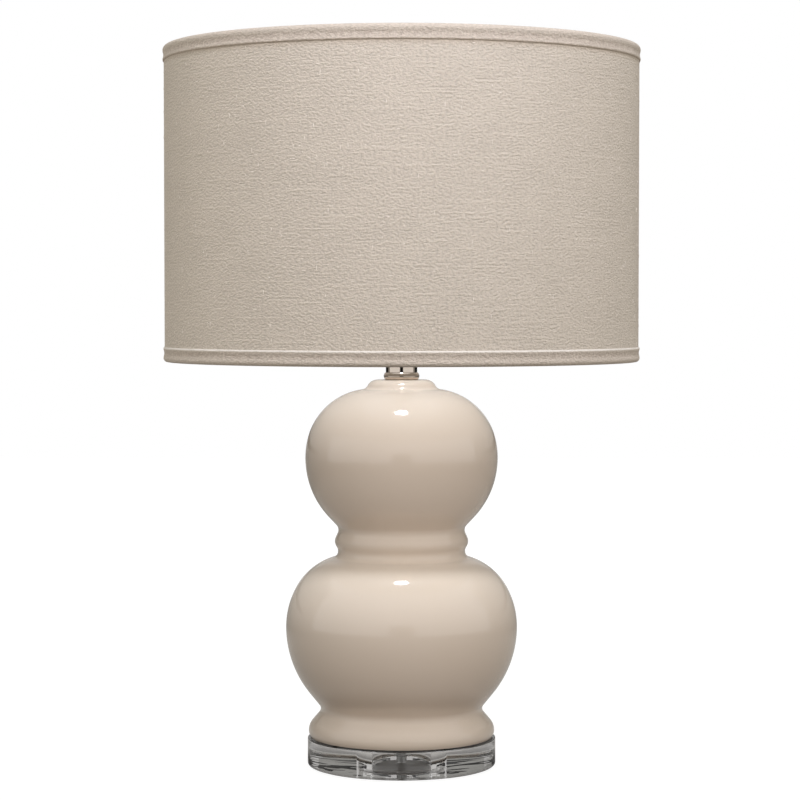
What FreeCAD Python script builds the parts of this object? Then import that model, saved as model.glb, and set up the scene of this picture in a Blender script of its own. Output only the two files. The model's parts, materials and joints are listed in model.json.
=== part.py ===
import FreeCAD, Part
import math
import os
import re
import Sketcher

# Driving dimensions, in millimetres and degrees, one cell each
SIZES = {
    # Clear base block and what closes its pocket
    "base_radius": 85.8,
    "base_height": 25.4,
    "base_bottom_round": 3.2,
    "base_top_round": 1.2,
    "pocket_radius": 27.4,
    "pocket_depth": 19.0,
    "cover_thickness": 1.5,
    "cover_recess": 0.6,
    "cover_clearance": 0.1,
    # Cord way through the rear of the base
    "cord_hole_radius": 4.6,
    "cord_hole_height": 10.5,
    "bushing_bore": 3.4,
    "bushing_length": 12.0,
    "bushing_flange_radius": 6.6,
    "bushing_flange_thickness": 1.5,
    "bushing_clearance": 0.1,
    # Dark foam ring between the base and the ceramic
    "gasket_inset": 5.8,
    "gasket_hole": 30.0,
    "gasket_thickness": 1.0,
    "soft_gap": 0.1,
    # Width of the base's top that shows round the ceramic foot
    "base_ledge": 1.0,
    # Ceramic body: the foot. Names from foot_ to crown_ are sizes of the potter's pattern,
    # and the body is the pattern scaled as a whole to ceramic_height
    "foot_crest_height": 5.1,
    "foot_under_arc": 9.0,
    "foot_roll_arc": 13.0,
    "foot_groove_radius": 73.8,
    "foot_groove_height": 25.0,
    "foot_groove_arc": 6.0,
    # Ceramic body: the lower gourd
    "lower_belly_radius": 105.4,
    "lower_belly_height": 99.8,
    "lower_belly_under_arc": 95.0,
    "lower_belly_top_arc": 74.5,
    "lower_shoulder_arc": 56.0,
    # Ceramic body: the waist, a ring between two grooves
    "waist_groove_radius": 57.9,
    "waist_groove_height": 169.1,
    "waist_groove_arc": 6.5,
    "waist_ring_radius": 60.8,
    "waist_ring_height": 178.1,
    "waist_ring_arc": 8.5,
    "upper_groove_radius": 57.6,
    "upper_groove_height": 188.4,
    "upper_groove_arc": 6.5,
    # Ceramic body: the upper gourd and its crown
    "upper_belly_radius": 87.7,
    "upper_belly_height": 254.1,
    "upper_belly_under_arc": 78.5,
    "upper_belly_top_arc": 73.0,
    "upper_shoulder_arc": 60.0,
    "upper_shoulder_start": 13.3,
    "crown_radius": 32.0,
    "crown_edge_arc": 10.0,
    "crown_fillet_arc": 6.0,
    "crown_rise": 71.2,
    # Ceramic body: its real height, and what its wall and holes measure at any height
    "ceramic_height": 325.3,
    "ceramic_wall": 5.5,
    "ceramic_floor": 5.5,
    "floor_hole_radius": 11.0,
    # Threaded pipe that ties the stack together
    "pipe_radius": 4.85,
    "pipe_bore": 3.4,
    "pipe_bottom_height": 5.0,
    "pipe_into_cap": 7.5,
    "pipe_clearance": 0.25,
    # Nuts and washers on the pipe
    "nut_across_flats": 14.3,
    "base_nut_height": 5.0,
    "neck_nut_height": 3.5,
    "lock_washer_radius": 8.0,
    "lock_washer_thickness": 1.4,
    "lock_washer_slit": 1.2,
    "flat_washer_radius": 14.0,
    "flat_washer_thickness": 1.5,
    # Polished bead and neck tube
    "bead_edge_radius": 14.9,
    "bead_arc": 4.6,
    "bead_height": 6.4,
    "neck_radius": 14.3,
    "neck_height": 28.0,
    "neck_wall": 1.2,
    "neck_web": 2.0,
    # Harp saddle
    "saddle_thickness": 1.6,
    "saddle_width": 12.7,
    "saddle_reach": 30.0,
    "saddle_bend": 7.0,
    "saddle_shoulder_height": 12.0,
    "prong_width": 4.2,
    "prong_height": 10.0,
    # Harp
    "harp_wire": 2.0,
    "harp_foot_radius": 3.2,
    "harp_foot_height": 14.0,
    "prong_clearance": 0.2,
    "harp_leg_height": 36.0,
    "harp_half_width": 57.0,
    "harp_swing_arc": 60.0,
    "harp_crown_arc": 49.0,
    "harp_height": 232.6,
    "harp_collar_radius": 6.0,
    "harp_collar_height": 6.4,
    "sleeve_wall": 0.9,
    "sleeve_clearance": 0.07,
    "sleeve_travel": 18.0,
    # Swivel stud on the harp and finial on the stud
    "stud_shank": 2.5,
    "stud_clearance": 0.06,
    "stud_rivet_radius": 4.2,
    "stud_rivet_height": 1.4,
    "swivel_gap": 0.2,
    "platform_radius": 9.5,
    "platform_thickness": 2.0,
    "stud_thread_radius": 3.175,
    "stud_thread_height": 13.0,
    "rest_gap": 0.1,
    "finial_foot_radius": 7.5,
    "finial_foot_height": 3.0,
    "finial_neck_radius": 5.0,
    "finial_neck_height": 9.5,
    "finial_ball_radius": 8.0,
    "finial_bore_depth": 13.5,
    "finial_clearance": 0.08,
    # Socket cap
    "cap_hub_radius": 9.0,
    "cap_hub_height": 4.5,
    "cap_radius": 17.2,
    "cap_shoulder_height": 11.5,
    "cap_height": 18.0,
    "cap_wall": 0.8,
    "cap_floor": 11.0,
    "set_screw_radius": 1.6,
    "set_screw_length": 4.6,
    "set_screw_height": 2.3,
    "screw_clearance": 0.1,
    # Socket shell, its liner and its insulating body
    "shell_clearance": 0.1,
    "shell_wall": 0.5,
    "shell_start": 12.5,
    "shell_height": 46.0,
    "shell_lip": 1.2,
    "liner_gap": 0.2,
    "liner_thickness": 0.5,
    "liner_height": 43.0,
    "body_radius": 14.8,
    "body_height": 15.5,
    "body_bore_radius": 3.0,
    # Lamp contacts inside the socket
    "screw_shell_radius": 13.3,
    "thread_depth": 0.7,
    "thread_pitch": 3.6,
    "screw_shell_wall": 0.4,
    "screw_shell_height": 25.2,
    "contact_width": 6.0,
    "contact_length": 18.0,
    "contact_rise": 3.0,
    "contact_thickness": 0.6,
    "terminal_radius": 1.9,
    "terminal_height": 5.5,
    "terminal_length": 3.2,
    "terminal_head_radius": 3.0,
    "terminal_head": 1.4,
    "terminal_sink": 2.2,
    # Turn switch
    "switch_height": 22.5,
    "stem_radius": 1.8,
    "stem_clearance": 0.08,
    "stem_start": 9.0,
    "stem_end": 33.0,
    "stem_hole_radius": 3.0,
    "knob_radius": 5.5,
    "knob_start": 20.5,
    "knob_length": 15.0,
    "knob_bore_depth": 12.6,
    "knob_flute_radius": 1.0,
    "knob_flutes": 12,
    "knob_round": 1.0,
    # Bulb
    "bulb_radius": 30.0,
    "bulb_length": 110.0,
    "bulb_neck_radius": 13.2,
    "bulb_neck_arc": 40.0,
    "bulb_glass_start": 24.6,
    "bulb_glass": 0.8,
    "bulb_cap_radius": 12.9,
    "bulb_cap_start": 4.6,
    "bulb_cap_height": 22.4,
    "bulb_cap_wall": 0.4,
    "bulb_thread_depth": 0.5,
    "bulb_thread_start": 1.6,
    "bulb_thread_pitch": 3.5,
    "bulb_collar_height": 2.8,
    "bulb_glue": 0.05,
    "bulb_clearance": 0.3,
    "insulator_radius": 9.5,
    "insulator_top": 11.0,
    "stem_foot_radius": 3.0,
    "tip_radius": 4.2,
    "tip_height": 1.6,
    "stem_tube_radius": 4.0,
    "stem_tube_height": 30.0,
    "lead_radius": 0.4,
    "lead_spread": 7.0,
    "lead_height": 32.0,
    "filament_radius": 0.5,
    # Shade
    "shade_radius": 215.9,
    "shade_height": 283.4,
    "hem_height": 13.5,
    "hem_thickness": 1.0,
    "hem_roll": 3.5,
    "hem_return": 2.5,
    "glue_gap": 0.2,
    "linen_thickness": 0.7,
    "backing_thickness": 0.4,
    "ring_wire": 1.5,
    "ring_inset": 4.4,
    "linen_inset": 2.8,
    "backing_inset": 1.6,
    # Spider in the top of the shade: a washer with three arms welded on
    "washer_drop": 12.1,
    "washer_radius": 14.0,
    "washer_thickness": 1.6,
    "washer_clearance": 0.3,
    "weld_depth": 0.3,
    "spider_wire": 1.6,
    "spider_arms": 3,
    "arm_start": 9.0,
    "arm_flat": 20.0,
    "arm_rise_end": 42.0,
    "arm_bend": 12.0,
    "arm_slot": 2.2,
}

doc = FreeCAD.newDocument("DoubleGourdLamp")
sheet = doc.addObject("Spreadsheet::Sheet", "Sizes")
for row, (alias, number) in enumerate(SIZES.items(), start=1):
    sheet.set(f"A{row}", alias)
    sheet.set(f"B{row}", str(number))
    sheet.setAlias(f"B{row}", alias)

# The pattern is as tall as its upper belly stands plus the crown's rise above that
SCALE_CELL = f"B{len(SIZES) + 1}"
sheet.set(SCALE_CELL, "=ceramic_height / (upper_belly_height + crown_rise)")
sheet.setAlias(SCALE_CELL, "gourd_scale")
PATTERN = [name for name in SIZES if name.split("_")[0] in ("foot", "lower", "waist", "upper", "crown")]
PATTERN.remove("upper_shoulder_start")
doc.recompute()

TINY = 1e-7
START, END, MIDDLE = range(1, 4)
ACROSS, UPWARD = range(-1, -3, -1)
ORIGIN = ACROSS


def cell(word):
    """The sheet's cell for a name in an expression, at the gourd's scale if it is the pattern's."""
    if word[0] in PATTERN:
        return f"(Sizes.{word[0]} * Sizes.gourd_scale)"
    return "Sizes." + word[0] if word[0] in SIZES else word[0]


def bound(expression):
    """An expression on bare size names, with each name read from the sheet."""
    return re.sub(r"[a-z_]+", cell, expression)


def worth(expression):
    """The number that an expression stands for now."""
    return float(sheet.evalExpression(bound(expression)))


# Heights of the seats that the pieces stand on, from the rest face up
GASKET_SEAT = "base_height + soft_gap"
FOOT_RADIUS = "(base_radius - base_ledge)"
GASKET_RADIUS = FOOT_RADIUS + " - gasket_inset"
CERAMIC_SEAT = "base_height + gasket_thickness + 2 * soft_gap"
BEAD_SEAT = CERAMIC_SEAT + " + ceramic_height"
NECK_SEAT = BEAD_SEAT + " + bead_height"
NECK_NUT_SEAT = NECK_SEAT + " + neck_height"
SADDLE_SEAT = NECK_NUT_SEAT + " + neck_nut_height"
CAP_SEAT = SADDLE_SEAT + " + saddle_thickness"
SHELL_SEAT = CAP_SEAT + " + shell_start"
BODY_SEAT = CAP_SEAT + " + cap_floor"
CONTACT_SEAT = BODY_SEAT + " + body_height"
BULB_SEAT = CONTACT_SEAT + " + contact_rise + bulb_clearance"
HARP_SEAT = SADDLE_SEAT + " + saddle_shoulder_height"
STUD_SEAT = HARP_SEAT + " + harp_height + harp_collar_height / 2 + swivel_gap"
WASHER_SEAT = STUD_SEAT + " + platform_thickness + rest_gap"
FINIAL_SEAT = WASHER_SEAT + " + washer_thickness + rest_gap"
SHADE_SEAT = WASHER_SEAT + " + washer_drop - shade_height"
SLEEVE_RADIUS = "harp_foot_radius + sleeve_clearance"
SHELL_RADIUS = "cap_radius - cap_wall - shell_clearance"
LINER_RADIUS = SHELL_RADIUS + " - shell_wall - liner_gap"
PIPE_HOLE = "pipe_radius + pipe_clearance"


def new_body(name, seat="0"):
    """A body whose height above the rest face follows its seat."""
    body = doc.addObject("PartDesign::Body", name)
    body.Label = name
    body.setExpression("Placement.Base.z", bound(seat))
    return body


def new_sketch(body, name, plane, offset="0"):
    """A sketch on one of the body's own origin planes, moved along its normal."""
    sketch = body.newObject("Sketcher::SketchObject", name)
    support = [item for item in body.Origin.OriginFeatures if item.Role == plane]
    sketch.AttachmentSupport = (support[0], [""])
    sketch.MapMode = "FlatFace"
    sketch.setExpression("AttachmentOffset.Base.z", bound(offset))
    return sketch


def hold(sketch, kind, element, end, expression):
    """Tie one coordinate of a point, or the radius of an arc, to an expression."""
    number = worth(expression)
    if kind == "Radius":
        index = sketch.addConstraint(Sketcher.Constraint("Radius", element, number))
    elif abs(number) < TINY:
        axis = UPWARD if kind == "DistanceX" else ACROSS
        sketch.addConstraint(Sketcher.Constraint("PointOnObject", element, end, axis))
        return
    else:
        index = sketch.addConstraint(Sketcher.Constraint(kind, ORIGIN, START, element, end, number))
    sketch.setExpression(f"Constraints[{index}]", bound(expression))


def flat(point):
    return FreeCAD.Vector(point[0], point[1], 0)


def arc_between(start, end, radius, turn):
    """The short arc of a radius between two points, left or right turning."""
    chord = flat(end) - flat(start)
    middle = (flat(end) + flat(start)) / 2
    across = FreeCAD.Vector(-chord.y, chord.x, 0).normalize()
    reach = math.sqrt(max(radius ** 2 - (chord.Length / 2) ** 2, 0))
    centre = middle + across * reach * turn
    circle = Part.Circle(centre, FreeCAD.Vector(0, 0, 1), radius)
    first, last = (start, end) if turn > 0 else (end, start)
    return Part.ArcOfCircle(circle, circle.parameter(flat(first)), circle.parameter(flat(last)))


def draw_outline(sketch, corners, closed=True):
    """Corners as (x, y), or (x, y, radius, turn) where an arc runs to the next corner.
    Every size is an expression; turn is 1 for a left turn and -1 for a right turn."""
    first_element = sketch.GeometryCount
    places = [(worth(corner[0]), worth(corner[1])) for corner in corners]
    count = len(corners) if closed else len(corners) - 1
    ends = []
    for index in range(count):
        start, end = places[index], places[(index + 1) % len(places)]
        if len(corners[index]) == 2:
            sketch.addGeometry(Part.LineSegment(flat(start), flat(end)), False)
            ends.append((START, END))
        else:
            radius, turn = worth(corners[index][2]), corners[index][3]
            sketch.addGeometry(arc_between(start, end, radius, turn), False)
            ends.append((START, END) if turn > 0 else (END, START))
    for index in range(count):
        element = first_element + index
        if closed or index + 1 < count:
            other = (index + 1) % count
            joint = ("Coincident", element, ends[index][1], first_element + other, ends[other][0])
            sketch.addConstraint(Sketcher.Constraint(*joint))
        hold(sketch, "DistanceX", element, ends[index][0], corners[index][0])
        hold(sketch, "DistanceY", element, ends[index][0], corners[index][1])
        if len(corners[index]) > 2:
            hold(sketch, "Radius", element, None, corners[index][2])
    if not closed:
        element = first_element + count - 1
        hold(sketch, "DistanceX", element, ends[-1][1], corners[-1][0])
        hold(sketch, "DistanceY", element, ends[-1][1], corners[-1][1])


def draw_circle(sketch, x, y, radius):
    """A circle whose centre and radius are expressions."""
    centre = flat((worth(x), worth(y)))
    index = sketch.addGeometry(Part.Circle(centre, FreeCAD.Vector(0, 0, 1), worth(radius)), False)
    hold(sketch, "DistanceX", index, MIDDLE, x)
    hold(sketch, "DistanceY", index, MIDDLE, y)
    hold(sketch, "Radius", index, None, radius)


def revolve(body, name, sketch):
    """A full turn of a sketch about its own upright axis."""
    feature = body.newObject("PartDesign::Revolution", name)
    feature.Profile = sketch
    feature.ReferenceAxis = (sketch, ["V_Axis"])
    feature.Angle = 360
    doc.recompute()
    return feature


def turned(name, corners, seat="0"):
    """A body of revolution from an outline of radii and heights."""
    body = new_body(name, seat)
    sketch = new_sketch(body, name + "_outline", "XZ_Plane")
    draw_outline(sketch, corners)
    revolve(body, name + "_turn", sketch)
    return body


def ring(name, outer, inner, thickness, seat="0"):
    """A flat or tall ring of rectangular section."""
    return turned(name, [(inner, "0"), (outer, "0"), (outer, thickness), (inner, thickness)], seat)


def pad(body, name, sketch, length, midplane=False, upside_down=False):
    feature = body.newObject("PartDesign::Pad", name)
    feature.Profile = sketch
    feature.setExpression("Length", bound(length))
    feature.Midplane = midplane
    feature.Reversed = upside_down
    doc.recompute()
    return feature


def pocket(body, name, sketch, length, away=False, midplane=False):
    """A pocket that has to take material away."""
    before = body.Shape.Volume
    feature = body.newObject("PartDesign::Pocket", name)
    feature.Profile = sketch
    feature.setExpression("Length", bound(length))
    feature.Reversed = away
    feature.Midplane = midplane
    doc.recompute()
    if not body.Shape.Volume < before - TINY:
        raise ValueError(name + " cuts nothing")
    return feature


def around(body, name, feature, count):
    """Copies of a feature at even angles about the body's upright axis."""
    pattern = body.newObject("PartDesign::PolarPattern", name)
    pattern.Originals = [feature]
    axis = [item for item in body.Origin.OriginFeatures if item.Role == "Z_Axis"]
    pattern.Axis = (axis[0], [""])
    pattern.Angle = 360
    pattern.setExpression("Occurrences", bound(count))
    body.Tip = pattern
    doc.recompute()
    return pattern


def mirror(body, name, features, plane):
    """The same features on the other side of an origin plane."""
    copy = body.newObject("PartDesign::Mirrored", name)
    copy.Originals = features
    support = [item for item in body.Origin.OriginFeatures if item.Role == plane]
    copy.MirrorPlane = (support[0], [""])
    body.Tip = copy
    doc.recompute()
    return copy


def round_edges(body, name, places, radius):
    """A fillet on the round edges at each (radius, height), measured in the body's frame."""
    feature = body.Tip
    wanted = [(worth(r), worth(h)) for r, h in places]
    names = []
    for index, edge in enumerate(feature.Shape.Edges, start=1):
        if not isinstance(edge.Curve, Part.Circle):
            continue
        for r, h in wanted:
            if abs(edge.Curve.Radius - r) < 1e-4 and abs(edge.Curve.Center.z - h) < 1e-4:
                names.append(f"Edge{index}")
    fillet = body.newObject("PartDesign::Fillet", name)
    fillet.Base = (feature, names)
    fillet.setExpression("Radius", bound(radius))
    doc.recompute()
    return fillet


# Clear base block, with a pocket below and a cord hole out of its rear
def make_acrylic_base():
    corners = [
        ("pocket_radius", "0"),
        ("base_radius", "0"),
        ("base_radius", "base_height"),
        (PIPE_HOLE, "base_height"),
        (PIPE_HOLE, "pocket_depth"),
        ("pocket_radius", "pocket_depth"),
    ]
    body = turned("acrylic_base", corners)
    cord_hole = new_sketch(body, "cord_hole", "XZ_Plane")
    draw_circle(cord_hole, "0", "cord_hole_height", "cord_hole_radius")
    pocket(body, "cord_hole_cut", cord_hole, "base_radius + 1", away=False)
    round_edges(body, "bottom_round", [("base_radius", "0")], "base_bottom_round")
    round_edges(body, "top_round", [("base_radius", "base_height")], "base_top_round")
    return body


def make_base_pieces():
    ring_hole = "pocket_radius - cover_clearance"
    turned("pocket_cover", [
        ("0", "0"),
        (ring_hole, "0"),
        (ring_hole, "cover_thickness"),
        ("0", "cover_thickness"),
    ], "cover_recess")
    sleeve = "cord_hole_radius - bushing_clearance"
    bushing = turned("cord_bushing", [
        ("bushing_bore", "0"),
        (sleeve, "0"),
        (sleeve, "bushing_length"),
        ("bushing_flange_radius", "bushing_length"),
        ("bushing_flange_radius", "bushing_length + bushing_flange_thickness"),
        ("bushing_bore", "bushing_length + bushing_flange_thickness"),
    ], "cord_hole_height")
    bushing.Placement.Rotation = FreeCAD.Rotation(FreeCAD.Vector(1, 0, 0), -90)
    bushing.setExpression("Placement.Base.y", bound("base_radius - bushing_length"))
    ring("foot_gasket", GASKET_RADIUS, "gasket_hole", "gasket_thickness", GASKET_SEAT)


# Centres and radii of the ceramic outline
def ceramic_chain(wall):
    """Arcs and lines of the outline from the foot up; wall is how far inside the
    outer face the outline runs. Every entry is a dict with its geometry and ties."""
    w = worth(wall)

    def arc(name, x, y, radius, hollow, ties):
        size = f"{radius} + {wall}" if hollow else f"{radius} - {wall}"
        centre = FreeCAD.Vector(worth(x), worth(y), 0)
        r = worth(size)
        return {"name": name, "centre": centre, "size": size, "r": r, "hollow": hollow, "ties": ties}

    def centre_ties(x, y):
        return [("DistanceX", "centre", x), ("DistanceY", "centre", y)]

    def crest_ties(x, y):
        sideways = ("DistanceX", "after", f"{x} - {wall}")
        return [sideways, ("DistanceY", "after", y), ("DistanceY", "centre", y)]

    groove = ("foot_groove_radius + foot_groove_arc", "foot_groove_height")
    low = ("waist_groove_radius + waist_groove_arc", "waist_groove_height")
    waist = ("waist_ring_radius - waist_ring_arc", "waist_ring_height")
    high = ("upper_groove_radius + upper_groove_arc", "upper_groove_height")
    crown = ("crown_radius - crown_edge_arc", "ceramic_height - crown_edge_arc")
    arcs = {
        "under": arc("under", FOOT_RADIUS + " - foot_under_arc", "foot_crest_height", "foot_under_arc", False,
                     crest_ties(FOOT_RADIUS, "foot_crest_height")),
        "roll": arc("roll", FOOT_RADIUS + " - foot_roll_arc", "foot_crest_height", "foot_roll_arc", False, []),
        "groove": arc("groove", *groove, "foot_groove_arc", True, centre_ties(*groove)),
        "belly_under": arc("belly_under", "lower_belly_radius - lower_belly_under_arc", "lower_belly_height",
                           "lower_belly_under_arc", False,
                           crest_ties("lower_belly_radius", "lower_belly_height")),
        "belly_top": arc("belly_top", "lower_belly_radius - lower_belly_top_arc", "lower_belly_height",
                         "lower_belly_top_arc", False, []),
        "low_groove": arc("low_groove", *low, "waist_groove_arc", True, centre_ties(*low)),
        "waist": arc("waist", *waist, "waist_ring_arc", False, centre_ties(*waist)),
        "high_groove": arc("high_groove", *high, "upper_groove_arc", True, centre_ties(*high)),
        "upper_under": arc("upper_under", "upper_belly_radius - upper_belly_under_arc", "upper_belly_height",
                           "upper_belly_under_arc", False,
                           crest_ties("upper_belly_radius", "upper_belly_height")),
        "upper_top": arc("upper_top", "upper_belly_radius - upper_belly_top_arc", "upper_belly_height",
                         "upper_belly_top_arc", False, []),
        "crown_edge": arc("crown_edge", *crown, "crown_edge_arc", False, []),
    }
    # The lower shoulder touches the belly from inside and the waist groove from outside
    belly, low_groove = arcs["belly_top"], arcs["low_groove"]
    shoulder_r = worth("lower_shoulder_arc")
    centre = meeting_centre(belly["centre"], worth("lower_belly_top_arc") - shoulder_r,
                            low_groove["centre"], worth("waist_groove_arc") + shoulder_r, belly["centre"])
    arcs["shoulder"] = dict(name="shoulder", centre=centre, size=f"lower_shoulder_arc - {wall}",
                            r=shoulder_r - w, hollow=False, ties=[])
    # The upper shoulder leaves the belly at its own angle
    angle = math.radians(worth("upper_shoulder_start"))
    top = arcs["upper_top"]
    step = worth("upper_belly_top_arc") - worth("upper_shoulder_arc")
    centre = top["centre"] + FreeCAD.Vector(math.cos(angle), math.sin(angle), 0) * step
    arcs["upper_shoulder"] = dict(name="upper_shoulder", centre=centre, size=f"upper_shoulder_arc - {wall}",
                                  r=worth("upper_shoulder_arc") - w, hollow=False, ties=[])
    lean = f"upper_belly_height + (upper_belly_top_arc - {wall}) * sin(upper_shoulder_start)"
    top["ties"] = [("DistanceY", "after", lean)]
    # The crown fillet touches the upper shoulder and the crown's rounded edge
    fillet_r = worth("crown_fillet_arc")
    edge = arcs["crown_edge"]
    centre = meeting_centre(edge["centre"], worth("crown_edge_arc") + fillet_r,
                            arcs["upper_shoulder"]["centre"], worth("upper_shoulder_arc") + fillet_r,
                            edge["centre"] + FreeCAD.Vector(fillet_r, 0, 0))
    arcs["crown_fillet"] = dict(name="crown_fillet", centre=centre, size="crown_fillet_arc",
                                r=fillet_r, hollow=True, ties=[])
    edge["ties"] = [("DistanceX", "centre", crown[0])]
    return arcs


def meeting_centre(first, first_reach, second, second_reach, near):
    """The point at one reach from each of two centres, outermost of the two."""
    apart = second - first
    along = (first_reach ** 2 - second_reach ** 2 + apart.Length ** 2) / (2 * apart.Length)
    rise = math.sqrt(max(first_reach ** 2 - along ** 2, 0))
    line = FreeCAD.Vector(apart).normalize()
    side = FreeCAD.Vector(-line.y, line.x, 0)
    options = [first + line * along + side * rise * sign for sign in (1, -1)]
    return min(options, key=lambda point: (point - near).Length if near != first else -point.x)


def touch_angle(one, other):
    """The direction, seen from one arc's centre, of its touching point with the next arc."""
    apart = other["centre"] - one["centre"]
    gap = apart.Length
    if one["hollow"] == other["hollow"]:
        outward = apart if one["r"] > other["r"] else apart * -1
        return math.atan2(outward.y, outward.x), None
    total = one["r"] + other["r"]
    heading = math.atan2(apart.y, apart.x)
    if abs(gap - total) < 1e-6:
        return heading, None
    lean = math.acos(total / gap)
    return (heading - lean if one["hollow"] is False else heading + lean), "line"


def draw_ceramic(sketch, wall, names, bottom, top):
    """Draw the chain of arcs, with a tangent line wherever two arcs stand apart."""
    arcs = ceramic_chain(wall)
    chain = [arcs[name] for name in names]
    joints = []
    for one, other in zip(chain, chain[1:]):
        angle, line = touch_angle(one, other)
        reach = FreeCAD.Vector(math.cos(angle), math.sin(angle), 0)
        here = one["centre"] + reach * one["r"]
        there = other["centre"] - reach * other["r"] if one["hollow"] != other["hollow"] else here
        joints.append((here, there, line))
    foot, crest = chain[0], chain[-1]
    low = worth(bottom) - foot["centre"].y
    start = FreeCAD.Vector(foot["centre"].x + math.sqrt(foot["r"] ** 2 - low ** 2), worth(bottom), 0)
    if crest["name"] == "crown_edge":
        finish = crest["centre"] + FreeCAD.Vector(0, crest["r"], 0)
    else:
        high = worth(top) - crest["centre"].y
        finish = FreeCAD.Vector(crest["centre"].x + math.sqrt(crest["r"] ** 2 - high ** 2), worth(top), 0)
    points = [(None, start)] + [(here, there) for here, there, _ in joints] + [(finish, None)]

    elements = []
    for index, item in enumerate(chain):
        begin, end = points[index][1], points[index + 1][0]
        circle = Part.Circle(item["centre"], FreeCAD.Vector(0, 0, 1), item["r"])
        first, last = (end, begin) if item["hollow"] else (begin, end)
        geometry = Part.ArcOfCircle(circle, circle.parameter(first), circle.parameter(last))
        element = sketch.addGeometry(geometry, False)
        into, out = (END, START) if item["hollow"] else (START, END)
        elements.append((element, into, out))
        if index < len(joints) and joints[index][2]:
            here, there, _ = joints[index]
            line = sketch.addGeometry(Part.LineSegment(here, there), False)
            elements.append((line, START, END))
    for (one, _, out), (other, into, _) in zip(elements, elements[1:]):
        sketch.addConstraint(Sketcher.Constraint("Tangent", one, out, other, into))
    if foot["name"] == "roll":
        foot["ties"] = [("DistanceX", "centre", FOOT_RADIUS + " - foot_roll_arc"),
                        ("DistanceY", "centre", "foot_crest_height")]
    arc_type = "Part::GeomArcOfCircle"
    arc_elements = [entry for entry in elements if sketch.Geometry[entry[0]].TypeId == arc_type]
    for item, (element, into, out) in zip(chain, arc_elements):
        hold(sketch, "Radius", element, None, item["size"])
        for kind, where, expression in item["ties"]:
            hold(sketch, kind, element, MIDDLE if where == "centre" else out, expression)

    # Floor, ceiling and axis close the outline
    middle_low = FreeCAD.Vector(0, worth(bottom), 0)
    middle_high = FreeCAD.Vector(0, worth(top), 0)
    floor = sketch.addGeometry(Part.LineSegment(middle_low, start), False)
    ceiling = sketch.addGeometry(Part.LineSegment(finish, middle_high), False)
    axis = sketch.addGeometry(Part.LineSegment(middle_high, middle_low), False)
    first, last = elements[0], elements[-1]
    sketch.addConstraint(Sketcher.Constraint("Coincident", floor, END, first[0], first[1]))
    if crest["name"] == "crown_edge":
        sketch.addConstraint(Sketcher.Constraint("Tangent", last[0], last[2], ceiling, START))
    else:
        sketch.addConstraint(Sketcher.Constraint("Coincident", last[0], last[2], ceiling, START))
    sketch.addConstraint(Sketcher.Constraint("Coincident", ceiling, END, axis, START))
    sketch.addConstraint(Sketcher.Constraint("Coincident", axis, END, floor, START))
    sketch.addConstraint(Sketcher.Constraint("Horizontal", floor))
    sketch.addConstraint(Sketcher.Constraint("Horizontal", ceiling))
    hold(sketch, "DistanceX", floor, START, "0")
    hold(sketch, "DistanceY", floor, START, bottom)
    hold(sketch, "DistanceX", axis, START, "0")
    hold(sketch, "DistanceY", axis, START, top)
    return points


def make_ceramic_level(name, low, high):
    """One level of the glazed body: the whole hollow gourd, cut off square below and above."""
    body = new_body(name, CERAMIC_SEAT)
    outside = new_sketch(body, name + "_outline", "XZ_Plane")
    rising = ["roll", "groove", "belly_under", "belly_top", "shoulder", "low_groove", "waist",
              "high_groove", "upper_under", "upper_top", "upper_shoulder"]
    whole = ["under"] + rising + ["crown_fillet", "crown_edge"]
    draw_ceramic(outside, "0", whole, "0", "ceramic_height")
    revolve(body, name + "_turn", outside)
    # The cavity follows the outer face at one wall's depth, up to a flat ceiling
    inside = new_sketch(body, name + "_cavity_outline", "XZ_Plane")
    ceiling = "ceramic_height - crown_edge_arc - ceramic_wall"
    draw_ceramic(inside, "ceramic_wall", rising, "ceramic_floor", ceiling)
    cavity = body.newObject("PartDesign::Groove", name + "_cavity")
    cavity.Profile = inside
    cavity.ReferenceAxis = (inside, ["V_Axis"])
    cavity.Angle = 360
    doc.recompute()
    for suffix, height, upward in (("_below", low, False), ("_above", high, True)):
        if height:
            level = new_sketch(body, name + suffix, "XY_Plane", height)
            draw_circle(level, "0", "0", "2 * lower_belly_radius")
            pocket(body, name + suffix + "_cut", level, "2 * ceramic_height", away=upward)
    return body


def make_ceramic_body():
    """Foot, lower gourd and upper gourd meet level in the foot's groove and the waist's."""
    foot = make_ceramic_level("ceramic_foot", None, "foot_groove_height")
    make_ceramic_level("ceramic_lower", "foot_groove_height", "upper_groove_height")
    upper = make_ceramic_level("ceramic_upper", "upper_groove_height", None)
    # Floor hole for the hand that feeds the pipe, and the pipe's hole in the crown
    floor_hole = new_sketch(foot, "floor_hole", "XY_Plane")
    draw_circle(floor_hole, "0", "0", "floor_hole_radius")
    pocket(foot, "floor_hole_cut", floor_hole, "ceramic_floor + 1", away=True)
    crown_hole = new_sketch(upper, "crown_hole", "XY_Plane", "ceramic_height")
    draw_circle(crown_hole, "0", "0", PIPE_HOLE)
    pocket(upper, "crown_hole_cut", crown_hole, "ceramic_height / 4")


# Pipe, nuts and washers
def make_hex_nut(name, height, seat):
    body = new_body(name, seat)
    sketch = new_sketch(body, name + "_flats", "XY_Plane")
    corners = []
    for index in range(6):
        angle = 60 * index
        reach = "nut_across_flats / sqrt(3)"
        corners.append((f"{reach} * cos({angle})", f"{reach} * sin({angle})"))
    draw_outline(sketch, corners)
    draw_circle(sketch, "0", "0", PIPE_HOLE)
    pad(body, name + "_pad", sketch, height)
    return body


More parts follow.
